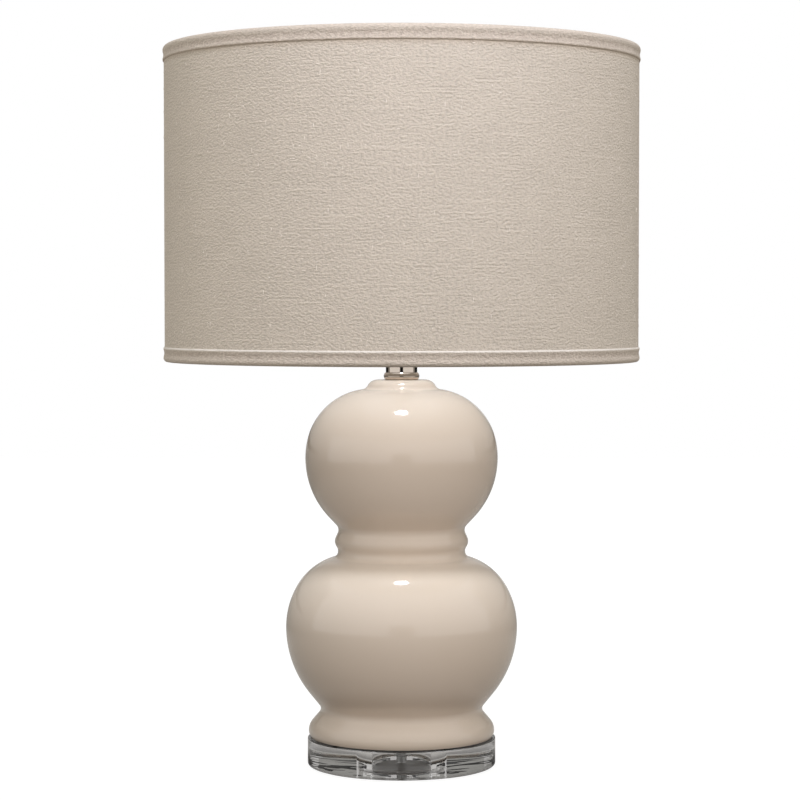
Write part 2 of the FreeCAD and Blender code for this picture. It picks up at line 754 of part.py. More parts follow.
def make_pipe_hardware():
    length = f"{CAP_SEAT} + pipe_into_cap - pipe_bottom_height"
    ring("lamp_pipe", "pipe_radius", "pipe_bore", length, "pipe_bottom_height")
    washer_seat = "pocket_depth - flat_washer_thickness"
    lock_seat = washer_seat + " - lock_washer_thickness"
    ring("base_flat_washer", "flat_washer_radius", PIPE_HOLE, "flat_washer_thickness", washer_seat)
    lock = ring("base_lock_washer", "lock_washer_radius", PIPE_HOLE, "lock_washer_thickness", lock_seat)
    slit = new_sketch(lock, "slit", "XY_Plane")
    draw_outline(slit, [
        ("0", "-lock_washer_slit / 2"),
        ("lock_washer_radius + 1", "-lock_washer_slit / 2"),
        ("lock_washer_radius + 1", "lock_washer_slit / 2"),
        ("0", "lock_washer_slit / 2"),
    ])
    pocket(lock, "slit_cut", slit, "lock_washer_thickness", away=True)
    make_hex_nut("base_nut", "base_nut_height", lock_seat + " - base_nut_height")
    make_hex_nut("neck_nut", "neck_nut_height", NECK_NUT_SEAT)


# Bead on the crown and the neck tube above it
def make_neck():
    turned("check_ring", [
        (PIPE_HOLE, "0"),
        ("bead_edge_radius", "0", "bead_arc", 1),
        ("bead_edge_radius", "bead_height"),
        (PIPE_HOLE, "bead_height"),
    ], BEAD_SEAT)
    inner = "neck_radius - neck_wall"
    turned("neck_spacer", [
        (inner, "0"),
        ("neck_radius", "0"),
        ("neck_radius", "neck_height"),
        (PIPE_HOLE, "neck_height"),
        (PIPE_HOLE, "neck_height - neck_web"),
        (inner, "neck_height - neck_web"),
    ], NECK_SEAT)


# Bent steel saddle that carries the harp
def make_harp_saddle():
    body = new_body("harp_saddle", SADDLE_SEAT)
    strip = new_sketch(body, "strip", "XZ_Plane")
    out = "saddle_reach + saddle_thickness / 2"
    inn = "saddle_reach - saddle_thickness / 2"
    draw_outline(strip, [
        ("0", "0"),
        (f"{out} - saddle_bend", "0", "saddle_bend", 1),
        (out, "saddle_bend"),
        (out, "saddle_shoulder_height"),
        (inn, "saddle_shoulder_height"),
        (inn, "saddle_bend", "saddle_bend - saddle_thickness", -1),
        (f"{out} - saddle_bend", "saddle_thickness"),
        ("0", "saddle_thickness"),
    ])
    half = pad(body, "strip_pad", strip, "saddle_width", midplane=True)
    prong = new_sketch(body, "prong", "XZ_Plane")
    draw_outline(prong, [
        (inn, "saddle_shoulder_height - saddle_thickness"),
        (out, "saddle_shoulder_height - saddle_thickness"),
        (out, "saddle_shoulder_height + prong_height"),
        (inn, "saddle_shoulder_height + prong_height"),
    ])
    tip = pad(body, "prong_pad", prong, "prong_width", midplane=True)
    mirror(body, "other_half", [half, tip], "YZ_Plane")
    hole = new_sketch(body, "saddle_hole", "XY_Plane")
    draw_circle(hole, "0", "0", PIPE_HOLE)
    pocket(body, "saddle_hole_cut", hole, "saddle_thickness", away=True)
    return body


# Wire harp: two feet, two legs that swing out round the bulb, and a collar on top
def make_harp():
    body = new_body("harp", HARP_SEAT)
    swing = "acos(1 - (harp_half_width - saddle_reach) / (2 * harp_swing_arc))"
    middle_x = "(saddle_reach + harp_half_width) / 2"
    bend_z = f"harp_leg_height + harp_swing_arc * sin({swing})"
    side_z = f"harp_leg_height + 2 * harp_swing_arc * sin({swing})"
    path = new_sketch(body, "harp_path", "XZ_Plane")
    draw_outline(path, [
        ("saddle_reach", "harp_foot_height / 2"),
        ("saddle_reach", "harp_leg_height", "harp_swing_arc", -1),
        (middle_x, bend_z, "harp_swing_arc", 1),
        ("harp_half_width", side_z),
        ("harp_half_width", "harp_height - harp_crown_arc", "harp_crown_arc", 1),
        ("harp_half_width - harp_crown_arc", "harp_height"),
        ("0", "harp_height"),
    ], closed=False)
    section = new_sketch(body, "harp_section", "XY_Plane", "harp_foot_height / 2")
    draw_circle(section, "saddle_reach", "0", "harp_wire")
    wire = body.newObject("PartDesign::AdditivePipe", "harp_wire_sweep")
    wire.Profile = section
    wire.Spine = path
    doc.recompute()
    foot = new_sketch(body, "harp_foot", "XY_Plane")
    draw_circle(foot, "saddle_reach", "0", "harp_foot_radius")
    foot_pad = pad(body, "harp_foot_pad", foot, "harp_foot_height")
    mirror(body, "harp_other_half", [wire, foot_pad], "YZ_Plane")
    collar = new_sketch(body, "harp_collar", "XY_Plane", "harp_height - harp_collar_height / 2")
    draw_circle(collar, "0", "0", "harp_collar_radius")
    pad(body, "harp_collar_pad", collar, "harp_collar_height")
    bore = new_sketch(body, "harp_bore", "XY_Plane", "harp_height - harp_collar_height / 2 - 1")
    draw_circle(bore, "0", "0", "stud_shank + stud_clearance")
    pocket(body, "harp_bore_cut", bore, "harp_collar_height + 2", away=True)
    # Slots in the feet for the saddle's prongs
    slots = new_sketch(body, "prong_slots", "XY_Plane")
    half_x = "(saddle_thickness / 2 + prong_clearance)"
    half_y = "(prong_width / 2 + prong_clearance)"
    for side in ("", "-"):
        middle = f"{side}saddle_reach"
        draw_outline(slots, [
            (f"{middle} - {half_x}", f"-{half_y}"),
            (f"{middle} + {half_x}", f"-{half_y}"),
            (f"{middle} + {half_x}", half_y),
            (f"{middle} - {half_x}", half_y),
        ])
    pocket(body, "prong_slots_cut", slots, "prong_height + prong_clearance", away=True)
    return body


def make_harp_pieces():
    for side, sign in (("left", "-"), ("right", "")):
        outer = f"{SLEEVE_RADIUS} + sleeve_wall"
        sleeve = ring(f"harp_sleeve_{side}", outer, SLEEVE_RADIUS, "harp_foot_height", HARP_SEAT)
        sleeve.setExpression("Placement.Base.x", bound(f"{sign}saddle_reach"))
    drop = "-(swivel_gap + harp_collar_height)"
    turned("harp_stud", [
        ("0", f"{drop} - swivel_gap - stud_rivet_height"),
        ("stud_rivet_radius", f"{drop} - swivel_gap - stud_rivet_height"),
        ("stud_rivet_radius", f"{drop} - swivel_gap"),
        ("stud_shank", f"{drop} - swivel_gap"),
        ("stud_shank", "0"),
        ("platform_radius", "0"),
        ("platform_radius", "platform_thickness"),
        ("stud_thread_radius", "platform_thickness"),
        ("stud_thread_radius", "platform_thickness + stud_thread_height"),
        ("0", "platform_thickness + stud_thread_height"),
    ], STUD_SEAT)
    # Finial: a foot, a waisted neck and a ball
    ball_low = "finial_neck_height"
    rise = "sqrt(finial_ball_radius ^ 2 - finial_neck_radius ^ 2)"
    ball_middle = f"({ball_low} + {rise})"
    turned("finial", [
        ("stud_thread_radius + finial_clearance", "0"),
        ("finial_foot_radius", "0"),
        ("finial_foot_radius", "finial_foot_height"),
        ("finial_neck_radius", "finial_foot_height + (finial_foot_radius - finial_neck_radius)"),
        ("finial_neck_radius", ball_low, "finial_ball_radius", 1),
        ("finial_ball_radius", ball_middle, "finial_ball_radius", 1),
        ("0", f"{ball_middle} + finial_ball_radius"),
        ("0", "finial_bore_depth"),
        ("stud_thread_radius + finial_clearance", "finial_bore_depth"),
    ], FINIAL_SEAT)


# Socket: cap, shell, liner, insulating body and contacts
def make_socket_shells():
    rim = "cap_radius - cap_wall"
    hub = "cap_hub_radius - cap_wall"
    cap = turned("socket_cap", [
        (PIPE_HOLE, "0"),
        ("cap_hub_radius", "0"),
        ("cap_hub_radius", "cap_hub_height"),
        ("cap_radius", "cap_shoulder_height"),
        ("cap_radius", "cap_height"),
        (rim, "cap_height"),
        (rim, "cap_shoulder_height + cap_wall / 2"),
        (hub, "cap_hub_height + cap_wall / 2"),
        (hub, "cap_floor"),
        (PIPE_HOLE, "cap_floor"),
    ], CAP_SEAT)
    screw_hole = new_sketch(cap, "set_screw_hole", "YZ_Plane")
    draw_circle(screw_hole, "0", "set_screw_height", "set_screw_radius + screw_clearance")
    pocket(cap, "set_screw_hole_cut", screw_hole, "cap_hub_radius + 1", away=True)
    screw = turned("cap_set_screw", [
        ("0", "0"),
        ("set_screw_radius", "0"),
        ("set_screw_radius", "set_screw_length"),
        ("0", "set_screw_length"),
    ], f"{CAP_SEAT} + set_screw_height")
    screw.Placement.Rotation = FreeCAD.Rotation(FreeCAD.Vector(0, 1, 0), 90)
    screw.setExpression("Placement.Base.x", bound("pipe_radius + screw_clearance"))

    inner = f"{SHELL_RADIUS} - shell_wall"
    shell = turned("socket_shell", [
        (inner, "0"),
        (SHELL_RADIUS, "0"),
        (SHELL_RADIUS, "shell_height"),
        (f"{inner} - shell_lip", "shell_height"),
        (f"{inner} - shell_lip", "shell_height - shell_wall"),
        (inner, "shell_height - shell_wall"),
    ], SHELL_SEAT)
    liner = ring("socket_liner", LINER_RADIUS, f"{LINER_RADIUS} - liner_thickness", "liner_height",
                 f"{SHELL_SEAT} + liner_gap")
    for body, seat in ((shell, "shell_start"), (liner, "shell_start + liner_gap")):
        hole = new_sketch(body, body.Name + "_stem_hole", "XZ_Plane")
        draw_circle(hole, "0", f"switch_height - ({seat})", "stem_hole_radius")
        pocket(body, body.Name + "_stem_hole_cut", hole, "cap_radius + 1", away=True)


def make_socket_body():
    body = ring("socket_body", "body_radius", "body_bore_radius", "body_height", BODY_SEAT)
    bore = new_sketch(body, "stem_bore", "XZ_Plane", "stem_start - stem_clearance")
    draw_circle(bore, "0", "switch_height - cap_floor", "stem_radius + stem_clearance")
    pocket(body, "stem_bore_cut", bore, "body_radius", away=True)
    seats = new_sketch(body, "terminal_seats", "YZ_Plane", "body_radius - terminal_sink")
    draw_circle(seats, "0", "terminal_height", "terminal_head_radius + screw_clearance")
    seat = pocket(body, "terminal_seat", seats, "terminal_sink + 1", away=True)
    holes = new_sketch(body, "terminal_holes", "YZ_Plane", "body_radius - terminal_sink - terminal_length")
    draw_circle(holes, "0", "terminal_height", "terminal_radius + screw_clearance")
    hole = pocket(body, "terminal_hole", holes, "terminal_length + 1", away=True)
    mirror(body, "terminals_other_side", [seat, hole], "YZ_Plane")

    for side, sign in (("left", "-"), ("right", "")):
        screw = turned(f"terminal_screw_{side}", [
            ("0", "0"),
            ("terminal_radius", "0"),
            ("terminal_radius", "terminal_length"),
            ("terminal_head_radius", "terminal_length"),
            ("terminal_head_radius", "terminal_length + terminal_head"),
            ("0", "terminal_length + terminal_head"),
        ], f"{BODY_SEAT} + terminal_height")
        screw.Placement.Rotation = FreeCAD.Rotation(FreeCAD.Vector(0, 1, 0), -90 if sign else 90)
        inner_end = f"{sign}(body_radius - terminal_sink - terminal_length)"
        screw.setExpression("Placement.Base.x", bound(inner_end))


def thread_corners(radius, depth, pitch, start, turns):
    """A wavy wall: radius on the land, depth further out or in on the crest, once a pitch."""
    corners = []
    for turn in range(turns):
        base = f"{start} + {turn} * {pitch}"
        corners.append((radius, base))
        corners.append((f"{radius} + {depth}", f"{base} + {pitch} / 2"))
    corners.append((radius, f"{start} + {turns} * {pitch}"))
    return corners


def make_contacts():
    start = "(screw_shell_height - 6 * thread_pitch) / 2"
    inner = thread_corners("screw_shell_radius", "thread_depth", "thread_pitch", start, 6)
    outer = thread_corners("screw_shell_radius + screw_shell_wall", "thread_depth", "thread_pitch", start, 6)
    corners = [("screw_shell_radius", "0"), ("screw_shell_radius + screw_shell_wall", "0")]
    corners += outer
    corners += [("screw_shell_radius + screw_shell_wall", "screw_shell_height"),
                ("screw_shell_radius", "screw_shell_height")]
    corners += inner[::-1]
    turned("screw_shell", corners, CONTACT_SEAT)

    tongue = new_body("centre_contact", CONTACT_SEAT)
    strip = new_sketch(tongue, "tongue", "XZ_Plane")
    draw_outline(strip, [
        ("-contact_length / 2", "0"),
        ("0", "0"),
        ("contact_length / 3", "contact_rise - contact_thickness"),
        ("contact_length / 3", "contact_rise"),
        ("-contact_length / 6", "contact_rise"),
        ("-contact_length / 6", "contact_rise - contact_thickness"),
        ("contact_length / 6", "contact_rise - contact_thickness"),
        ("0", "contact_thickness"),
        ("-contact_length / 2", "contact_thickness"),
    ])
    pad(tongue, "tongue_pad", strip, "contact_width", midplane=True)


# Turn switch, its axis across the front of the socket
def make_switch():
    lying = FreeCAD.Rotation(FreeCAD.Vector(1, 0, 0), 90)
    seat = f"{CAP_SEAT} + switch_height"
    length = "stem_end - stem_start"
    rod = [("0", "0"), ("stem_radius", "0"), ("stem_radius", length), ("0", length)]
    stem = turned("switch_stem", rod, seat)
    stem.Placement.Rotation = lying
    stem.setExpression("Placement.Base.y", bound("-stem_start"))
    bore = "stem_radius + stem_clearance"
    knob = turned("switch_knob", [
        (bore, "0"),
        ("knob_radius", "0"),
        ("knob_radius", "knob_length"),
        ("0", "knob_length"),
        ("0", "knob_bore_depth"),
        (bore, "knob_bore_depth"),
    ], seat)
    round_edges(knob, "knob_end_round", [("knob_radius", "knob_length")], "knob_round")
    flute = new_sketch(knob, "flute", "XY_Plane")
    draw_circle(flute, "knob_radius + knob_flute_radius / 2", "0", "knob_flute_radius")
    cut = pocket(knob, "flute_cut", flute, "knob_length", away=True)
    around(knob, "flutes", cut, "knob_flutes")
    knob.Placement.Rotation = lying
    knob.setExpression("Placement.Base.y", bound("-knob_start"))


# Bulb: glass, stem, leads, filament, screw cap, insulator and tip
def make_bulb():
    def envelope(skin):
        """Outline points of the glass at one depth inside its outer face."""
        ball = f"(bulb_radius - {skin})"
        neck = f"(bulb_neck_radius - {skin})"
        sweep = f"(bulb_neck_arc + {skin})"
        ball_z = "(bulb_length - bulb_radius)"
        centre_r = "(bulb_neck_radius + bulb_neck_arc)"
        reach = "(bulb_radius + bulb_neck_arc)"
        drop = f"sqrt({reach} ^ 2 - {centre_r} ^ 2)"
        touch_r = f"{ball} * {centre_r} / {reach}"
        touch_z = f"{ball_z} - {ball} * {drop} / {reach}"
        return ball, neck, sweep, ball_z, touch_r, touch_z, f"{ball_z} - {drop}"

    ball, neck, sweep, ball_z, touch_r, touch_z, neck_z = envelope("0")
    ball_in, neck_in, sweep_in, _, touch_r_in, touch_z_in, _ = envelope("bulb_glass")
    turned("bulb_glass", [
        (neck, "bulb_glass_start"),
        (neck, neck_z, sweep, -1),
        (touch_r, touch_z, ball, 1),
        (ball, ball_z, ball, 1),
        ("0", f"{ball_z} + {ball}"),
        ("0", f"{ball_z} + {ball_in}", ball_in, -1),
        (ball_in, ball_z, ball_in, -1),
        (touch_r_in, touch_z_in, sweep_in, 1),
        (neck_in, neck_z),
        (neck_in, "bulb_glass_start"),
    ], BULB_SEAT)
    turned("bulb_stem", [
        ("0", "insulator_top"),
        ("stem_foot_radius", "insulator_top"),
        ("bulb_neck_radius - bulb_glass - bulb_clearance", "bulb_glass_start"),
        ("stem_tube_radius", "bulb_glass_start + stem_tube_radius"),
        ("stem_tube_radius", "bulb_glass_start + stem_tube_height"),
        ("0", "bulb_glass_start + stem_tube_height"),
    ], BULB_SEAT)

    # Each lead has a foot on the stem and stands up; the filament lies on their tips
    foot = "bulb_glass_start + stem_tube_height"
    inner_end = "(stem_tube_radius - 2 * lead_radius)"
    for side, sign in (("left", "-"), ("right", "")):
        lead = new_body(f"bulb_lead_{side}", BULB_SEAT)
        plan = new_sketch(lead, f"lead_section_{side}", "XY_Plane", foot)
        draw_circle(plan, f"{sign}lead_spread", "0", "lead_radius")
        pad(lead, f"lead_pad_{side}", plan, "lead_height")
        start = "-lead_spread" if sign else inner_end
        tie = new_sketch(lead, f"lead_foot_section_{side}", "YZ_Plane", start)
        draw_circle(tie, "0", f"{foot} + lead_radius", "lead_radius")
        pad(lead, f"lead_foot_pad_{side}", tie, f"lead_spread - {inner_end}")
    filament = new_body("bulb_filament", f"{BULB_SEAT} + {foot} + lead_height")
    thread = new_sketch(filament, "filament_section", "YZ_Plane")
    draw_circle(thread, "0", "filament_radius", "filament_radius")
    pad(filament, "filament_pad", thread, "2 * (lead_spread + lead_radius)", midplane=True)

    land = "bulb_cap_radius - bulb_thread_depth"
    start = "bulb_cap_start + bulb_thread_start"
    outer = thread_corners(land, "bulb_thread_depth", "bulb_thread_pitch", start, 5)
    inner = thread_corners(f"{land} - bulb_cap_wall", "bulb_thread_depth", "bulb_thread_pitch", start, 5)
    top = "bulb_cap_start + bulb_cap_height"
    collar = "bulb_neck_radius + bulb_glue"
    corners = [("insulator_radius - bulb_cap_wall", "bulb_cap_start"), ("insulator_radius", "bulb_cap_start")]
    corners += outer
    corners += [(f"{collar} + bulb_cap_wall", f"{top} - bulb_collar_height"),
                (f"{collar} + bulb_cap_wall", top),
                (collar, top),
                (collar, f"{top} - bulb_collar_height")]
    corners += inner[::-1]
    turned("bulb_cap", corners, BULB_SEAT)
    inside = "insulator_radius - bulb_cap_wall"
    turned("bulb_insulator", [
        ("0", "tip_height"),
        ("tip_radius", "tip_height"),
        (inside, "bulb_cap_start"),
        (inside, "bulb_cap_start + bulb_cap_wall"),
        ("tip_radius", "insulator_top"),
        ("0", "insulator_top"),
    ], BULB_SEAT)
    turned("bulb_tip", [
        ("0", "0"),
        ("tip_radius / 2", "0"),
        ("tip_radius", "tip_height / 2"),
        ("tip_radius", "tip_height"),
        ("0", "tip_height"),
    ], BULB_SEAT)


# Shade: linen outside, stiff backing inside, rolled hems over two wire rings
LINEN_OUTER = "shade_radius - hem_thickness - glue_gap"
BACKING_OUTER = LINEN_OUTER + " - linen_thickness - glue_gap"
RING_RADIUS = BACKING_OUTER + " - backing_thickness - glue_gap - ring_wire"


def hem_corners(edge, into):
    """Section of a hem: an outer band, a round roll over the wire and a short return.
    edge is the height of the shade's edge; into is + or - towards its middle."""
    back = "-" if into == "+" else "+"
    roll_in = "(hem_roll - hem_thickness)"
    roll_at = "shade_radius - hem_roll"
    middle = f"{edge} {into} hem_roll"
    left, right = (1, -1) if into == "-" else (-1, 1)
    return [
        ("shade_radius - hem_thickness", f"{edge} {into} hem_height"),
        ("shade_radius", f"{edge} {into} hem_height"),
        ("shade_radius", middle, "hem_roll", left),
        (roll_at, f"{middle} {back} hem_roll", "hem_roll", left),
        (f"{roll_at} - hem_roll", middle),
        (f"{roll_at} - hem_roll", f"{middle} {into} hem_return"),
        (f"{roll_at} - {roll_in}", f"{middle} {into} hem_return"),
        (f"{roll_at} - {roll_in}", middle, roll_in, right),
        (roll_at, f"{middle} {back} {roll_in}", roll_in, right),
        (f"{roll_at} + {roll_in}", middle),
    ]


def make_shade():
    linen_inner = f"{LINEN_OUTER} - linen_thickness"
    linen_height = "shade_height - 2 * linen_inset"
    ring("shade_linen", LINEN_OUTER, linen_inner, linen_height, f"{SHADE_SEAT} + linen_inset")
    backing_inner = f"{BACKING_OUTER} - backing_thickness"
    ring("shade_backing", BACKING_OUTER, backing_inner, "shade_height - 2 * backing_inset",
         f"{SHADE_SEAT} + backing_inset")
    top = turned("top_hem", hem_corners("shade_height", "-"), SHADE_SEAT)
    turned("bottom_hem", hem_corners("0", "+"), SHADE_SEAT)
    for name, height in (("top_ring", "shade_height - ring_inset"), ("bottom_ring", "ring_inset")):
        body = new_body(name, SHADE_SEAT)
        section = new_sketch(body, name + "_section", "XZ_Plane")
        draw_circle(section, RING_RADIUS, height, "ring_wire")
        revolve(body, name + "_turn", section)
    # Slits in the top hem's return let the spider's arms through to the ring
    slit = new_sketch(top, "arm_slit", "YZ_Plane")
    low = "shade_height - hem_roll - hem_return - 1"
    draw_outline(slit, [
        ("-arm_slot", low),
        ("arm_slot", low),
        ("arm_slot", "shade_height - ring_inset + arm_slot"),
        ("-arm_slot", "shade_height - ring_inset + arm_slot"),
    ])
    cut = pocket(top, "arm_slit_cut", slit, f"{RING_RADIUS} - ring_wire", away=True)
    around(top, "arm_slits", cut, "spider_arms")
    return top


def make_spider():
    body = new_body("spider", SHADE_SEAT)
    washer = "shade_height - washer_drop"
    plate = new_sketch(body, "washer_section", "XZ_Plane")
    draw_outline(plate, [
        ("stud_thread_radius + washer_clearance", washer),
        ("washer_radius", washer),
        ("washer_radius", f"{washer} + washer_thickness"),
        ("stud_thread_radius + washer_clearance", f"{washer} + washer_thickness"),
    ])
    revolve(body, "washer_turn", plate)
    low = f"{washer} + washer_thickness + spider_wire - weld_depth"
    high = "shade_height - ring_inset"
    # Each arm lies welded on the washer, rises in a slope and runs level to the ring
    slope = f"atan(({high} - ({low})) / (arm_rise_end - arm_flat))"
    ease = f"arm_bend * tan({slope} / 2)"
    path = new_sketch(body, "arm_path", "XZ_Plane")
    draw_outline(path, [
        ("arm_start", low),
        (f"arm_flat - {ease}", low, "arm_bend", 1),
        (f"arm_flat + {ease} * cos({slope})", f"{low} + {ease} * sin({slope})"),
        (f"arm_rise_end - {ease} * cos({slope})", f"{high} - {ease} * sin({slope})", "arm_bend", -1),
        (f"arm_rise_end + {ease}", high),
        (f"{RING_RADIUS} - ring_wire - rest_gap", high),
    ], closed=False)
    section = new_sketch(body, "arm_section", "YZ_Plane", "arm_start")
    draw_circle(section, "0", low, "spider_wire")
    arm = body.newObject("PartDesign::AdditivePipe", "arm_sweep")
    arm.Profile = section
    arm.Spine = path
    doc.recompute()
    around(body, "arms", arm, "spider_arms")
    # One arm points to the rear
    turn = FreeCAD.Rotation(FreeCAD.Vector(0, 0, 1), 90)
    body.Placement.Rotation = turn
    doc.getObject("top_hem").Placement.Rotation = turn
    return body


make_acrylic_base()
make_base_pieces()
make_ceramic_body()
make_pipe_hardware()
make_neck()
make_harp_saddle()
make_harp()
make_harp_pieces()
make_socket_shells()
make_socket_body()
make_contacts()
make_switch()
make_bulb()
make_shade()
make_spider()
doc.recompute()

# Nothing is written unless every object came out whole
for item in doc.Objects:
    if "Invalid" in item.State or "Error" in item.State:
        raise ValueError(f"{item.Name} failed: {item.State}")
sub_parts = [item for item in doc.Objects if item.TypeId == "PartDesign::Body"]
for item in sub_parts:
    if item.Shape.isNull() or not item.Shape.isValid():
        raise ValueError(item.Name + " has no valid shape")

os.makedirs("parts", exist_ok=True)
for item in sub_parts:
    item.Shape.exportStep(f"parts/{item.Label}.step")
print(len(sub_parts), "sub-parts written")
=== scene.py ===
# %% [markdown]
# # A double gourd table lamp
#
# The lamp stands on its underside at the origin, +Z up, and is seen from -Y. Every piece is
# built here as a smooth mesh in the place of its construction solid, in metres, and rides on
# the same body, so it moves as the solid does.

# %% The frame and its names
import json
from math import acos, asin, atan, atan2, cos, degrees, dist, pi, radians, sin, sqrt, tan

import bmesh
import bpy
import numpy as np
from mathutils import Matrix, Vector

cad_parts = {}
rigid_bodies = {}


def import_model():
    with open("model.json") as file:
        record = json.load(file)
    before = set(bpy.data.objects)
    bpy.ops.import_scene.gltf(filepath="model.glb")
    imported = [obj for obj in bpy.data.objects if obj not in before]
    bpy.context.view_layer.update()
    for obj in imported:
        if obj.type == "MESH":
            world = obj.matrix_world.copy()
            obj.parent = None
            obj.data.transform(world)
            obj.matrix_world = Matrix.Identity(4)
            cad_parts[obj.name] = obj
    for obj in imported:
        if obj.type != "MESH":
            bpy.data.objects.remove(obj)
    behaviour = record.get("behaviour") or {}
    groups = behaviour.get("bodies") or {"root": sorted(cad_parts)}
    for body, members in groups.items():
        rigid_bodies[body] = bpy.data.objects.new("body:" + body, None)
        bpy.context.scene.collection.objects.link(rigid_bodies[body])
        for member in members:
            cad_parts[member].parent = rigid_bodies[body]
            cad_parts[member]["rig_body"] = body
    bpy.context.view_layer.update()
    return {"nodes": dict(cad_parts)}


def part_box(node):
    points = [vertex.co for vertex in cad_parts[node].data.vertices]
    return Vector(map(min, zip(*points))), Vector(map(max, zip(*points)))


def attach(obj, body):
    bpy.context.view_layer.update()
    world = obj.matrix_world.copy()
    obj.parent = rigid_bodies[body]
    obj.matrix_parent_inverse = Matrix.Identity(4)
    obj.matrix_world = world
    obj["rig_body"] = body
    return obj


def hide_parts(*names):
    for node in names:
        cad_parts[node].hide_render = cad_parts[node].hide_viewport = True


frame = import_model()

MM = 0.001
SIDES = (("left", -1), ("right", 1))
NODES = frame["nodes"]


# %% [markdown]
# ## Turned forms
#
# Most of a lamp is turned or drawn from round stock. Its section is a closed outline of
# (radius, height) corners in millimetres. `ease` rounds the corners a little, because no real
# edge is sharp and the small round catches the light. One more point beside each round keeps
# the shading of the straight wall flat. `lathe` then turns the outline.

# %% Outlines
def ease(corners, radius=0.3, steps=3):
    """A closed outline with eased corners. A corner is (r, z) or (r, z, its own radius)."""
    points = []
    for index, corner in enumerate(corners):
        here = np.array(corner[:2], float)
        back = np.array(corners[index - 1][:2], float) - here
        ahead = np.array(corners[(index + 1) % len(corners)][:2], float) - here
        size = corner[2] if len(corner) > 2 else radius
        before, after = np.linalg.norm(back), np.linalg.norm(ahead)
        if size <= 0 or here[0] < 1e-6 or min(before, after) < 1e-6:
            points.append(here)
            continue
        back, ahead = back / before, ahead / after
        bend = acos(float(np.clip(-back @ ahead, -1, 1)))
        if bend < 0.15:
            points.append(here)
            continue
        reach = min(size * tan(bend / 2), 0.45 * before, 0.45 * after)
        points.append(here + back * min(reach * 1.5, 0.48 * before))
        for t in np.linspace(0, 1, steps + 1):
            curve = (1 - t) ** 2 * (here + back * reach) + 2 * t * (1 - t) * here
            points.append(curve + t * t * (here + ahead * reach))
        points.append(here + ahead * min(reach * 1.5, 0.48 * after))
    return points


def arc(r, z, radius, start, end, step=6.0):
    """Points on an arc about (r, z), from one angle to the other in degrees."""
    count = max(2, round(abs(end - start) / step))
    angles = np.radians(np.linspace(start, end, count + 1))
    return [(r + radius * cos(a), z + radius * sin(a), 0) for a in angles]


def band(inner, outer, high, low=0):
    """The four corners of a plain ring or, with no inner radius, of a disc or a rod."""
    return [(inner, low), (outer, low), (outer, high), (inner, high)]


def wall(r, low, high, step):
    """Points up or down a straight wall, close enough together to carry a thread."""
    count = max(2, round(abs(high - low) / step))
    return [(r, z, 0) for z in np.linspace(low, high, count + 1)]


print("a ring's four corners ease to", len(ease(band(1, 2, 3))), "points")


# %% Meshes from arrays
CRISP = 32  # edges that turn by more degrees than this stay crisp


def in_metres(points):
    return (np.asarray(points, float) * MM).tolist()


def add_object(name, data):
    """A new object in the scene that holds this data."""
    obj = bpy.data.objects.new(name, data)
    bpy.context.scene.collection.objects.link(obj)
    return obj


def smooth(mesh, sharp=CRISP):
    mesh.shade_smooth()
    mesh.set_sharp_from_angle(angle=radians(sharp))


def weld(mesh, distance, flat_within=None):
    """Join points that coincide and, with an angle given, faces that lie flat to each other."""
    work = bmesh.new()
    work.from_mesh(mesh)
    bmesh.ops.remove_doubles(work, verts=work.verts, dist=distance)
    if flat_within:
        bmesh.ops.dissolve_limit(work, angle_limit=flat_within, verts=work.verts, edges=work.edges)
    work.to_mesh(mesh)
    work.free()


def mesh_object(name, points, faces, uvs=None, sharp=CRISP):
    """A mesh object from points in millimetres."""
    mesh = bpy.data.meshes.new(name)
    mesh.from_pydata(in_metres(points), [], np.asarray(faces).tolist())
    if uvs is not None:
        layer = mesh.uv_layers.new(name="Flat")
        layer.data.foreach_set("uv", np.asarray(uvs, np.float32).ravel())
    else:
        weld(mesh, 1e-8)
    smooth(mesh, sharp)
    return add_object(name, mesh)


def lathe(name, outline, seat=0.0, segments=96, shape=None, flat=False, sharp=CRISP):
    """Turn an outline about Z. shape(r, z, angle) may change radius and height; flat adds a
    UV map in metres, round the turn and along the outline."""
    section = np.array([point[:2] for point in outline], float)
    count = len(section)
    angles = np.arange(segments) * 2 * pi / segments
    r = np.repeat(section[:, :1], segments, axis=1)
    z = np.repeat(section[:, 1:], segments, axis=1)
    a = np.repeat(angles[None, :], count, axis=0)
    if shape:
        r, z = shape(r, z, a)
    points = np.stack([r * np.cos(a), r * np.sin(a), z + seat], -1).reshape(-1, 3)
    i, k = np.meshgrid(np.arange(count), np.arange(segments), indexing="ij")
    i, k = i.ravel(), k.ravel()
    i2, k2 = (i + 1) % count, (k + 1) % segments
    here, above = i * segments, i2 * segments
    faces = np.stack([here + k, here + k2, above + k2, above + k], -1)
    uvs = None
    if flat:
        steps = np.linalg.norm(np.roll(section, -1, axis=0) - section, axis=1)
        along = np.concatenate([[0], np.cumsum(steps)]) * MM
        radius = section[:, 0].max() * MM
        turn = 2 * pi / segments * radius
        u0, u1, v0, v1 = k * turn, (k + 1) * turn, along[i], along[i + 1]
        uvs = np.stack([u0, v0, u1, v0, u1, v1, u0, v1], -1).reshape(-1, 2)
    return mesh_object(name, points, faces, uvs, sharp)


def move(obj, place, turn=0, axis="Z"):
    """Turn a piece by degrees and move it, both by its mesh: the object stays at the origin."""
    rotation = Matrix.Rotation(radians(turn), 4, axis)
    obj.data.transform(Matrix.Translation(Vector(place) * MM) @ rotation)
    return obj


def foot(node):
    """The lowest height of a construction solid, in millimetres."""
    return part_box(node)[0].z / MM


def applied(obj):
    """The piece with its modifiers made real."""
    bpy.context.view_layer.update()
    result = obj.evaluated_get(bpy.context.evaluated_depsgraph_get())
    made = bpy.data.meshes.new_from_object(result)
    obj.modifiers.clear()
    obj.data = made
    return obj


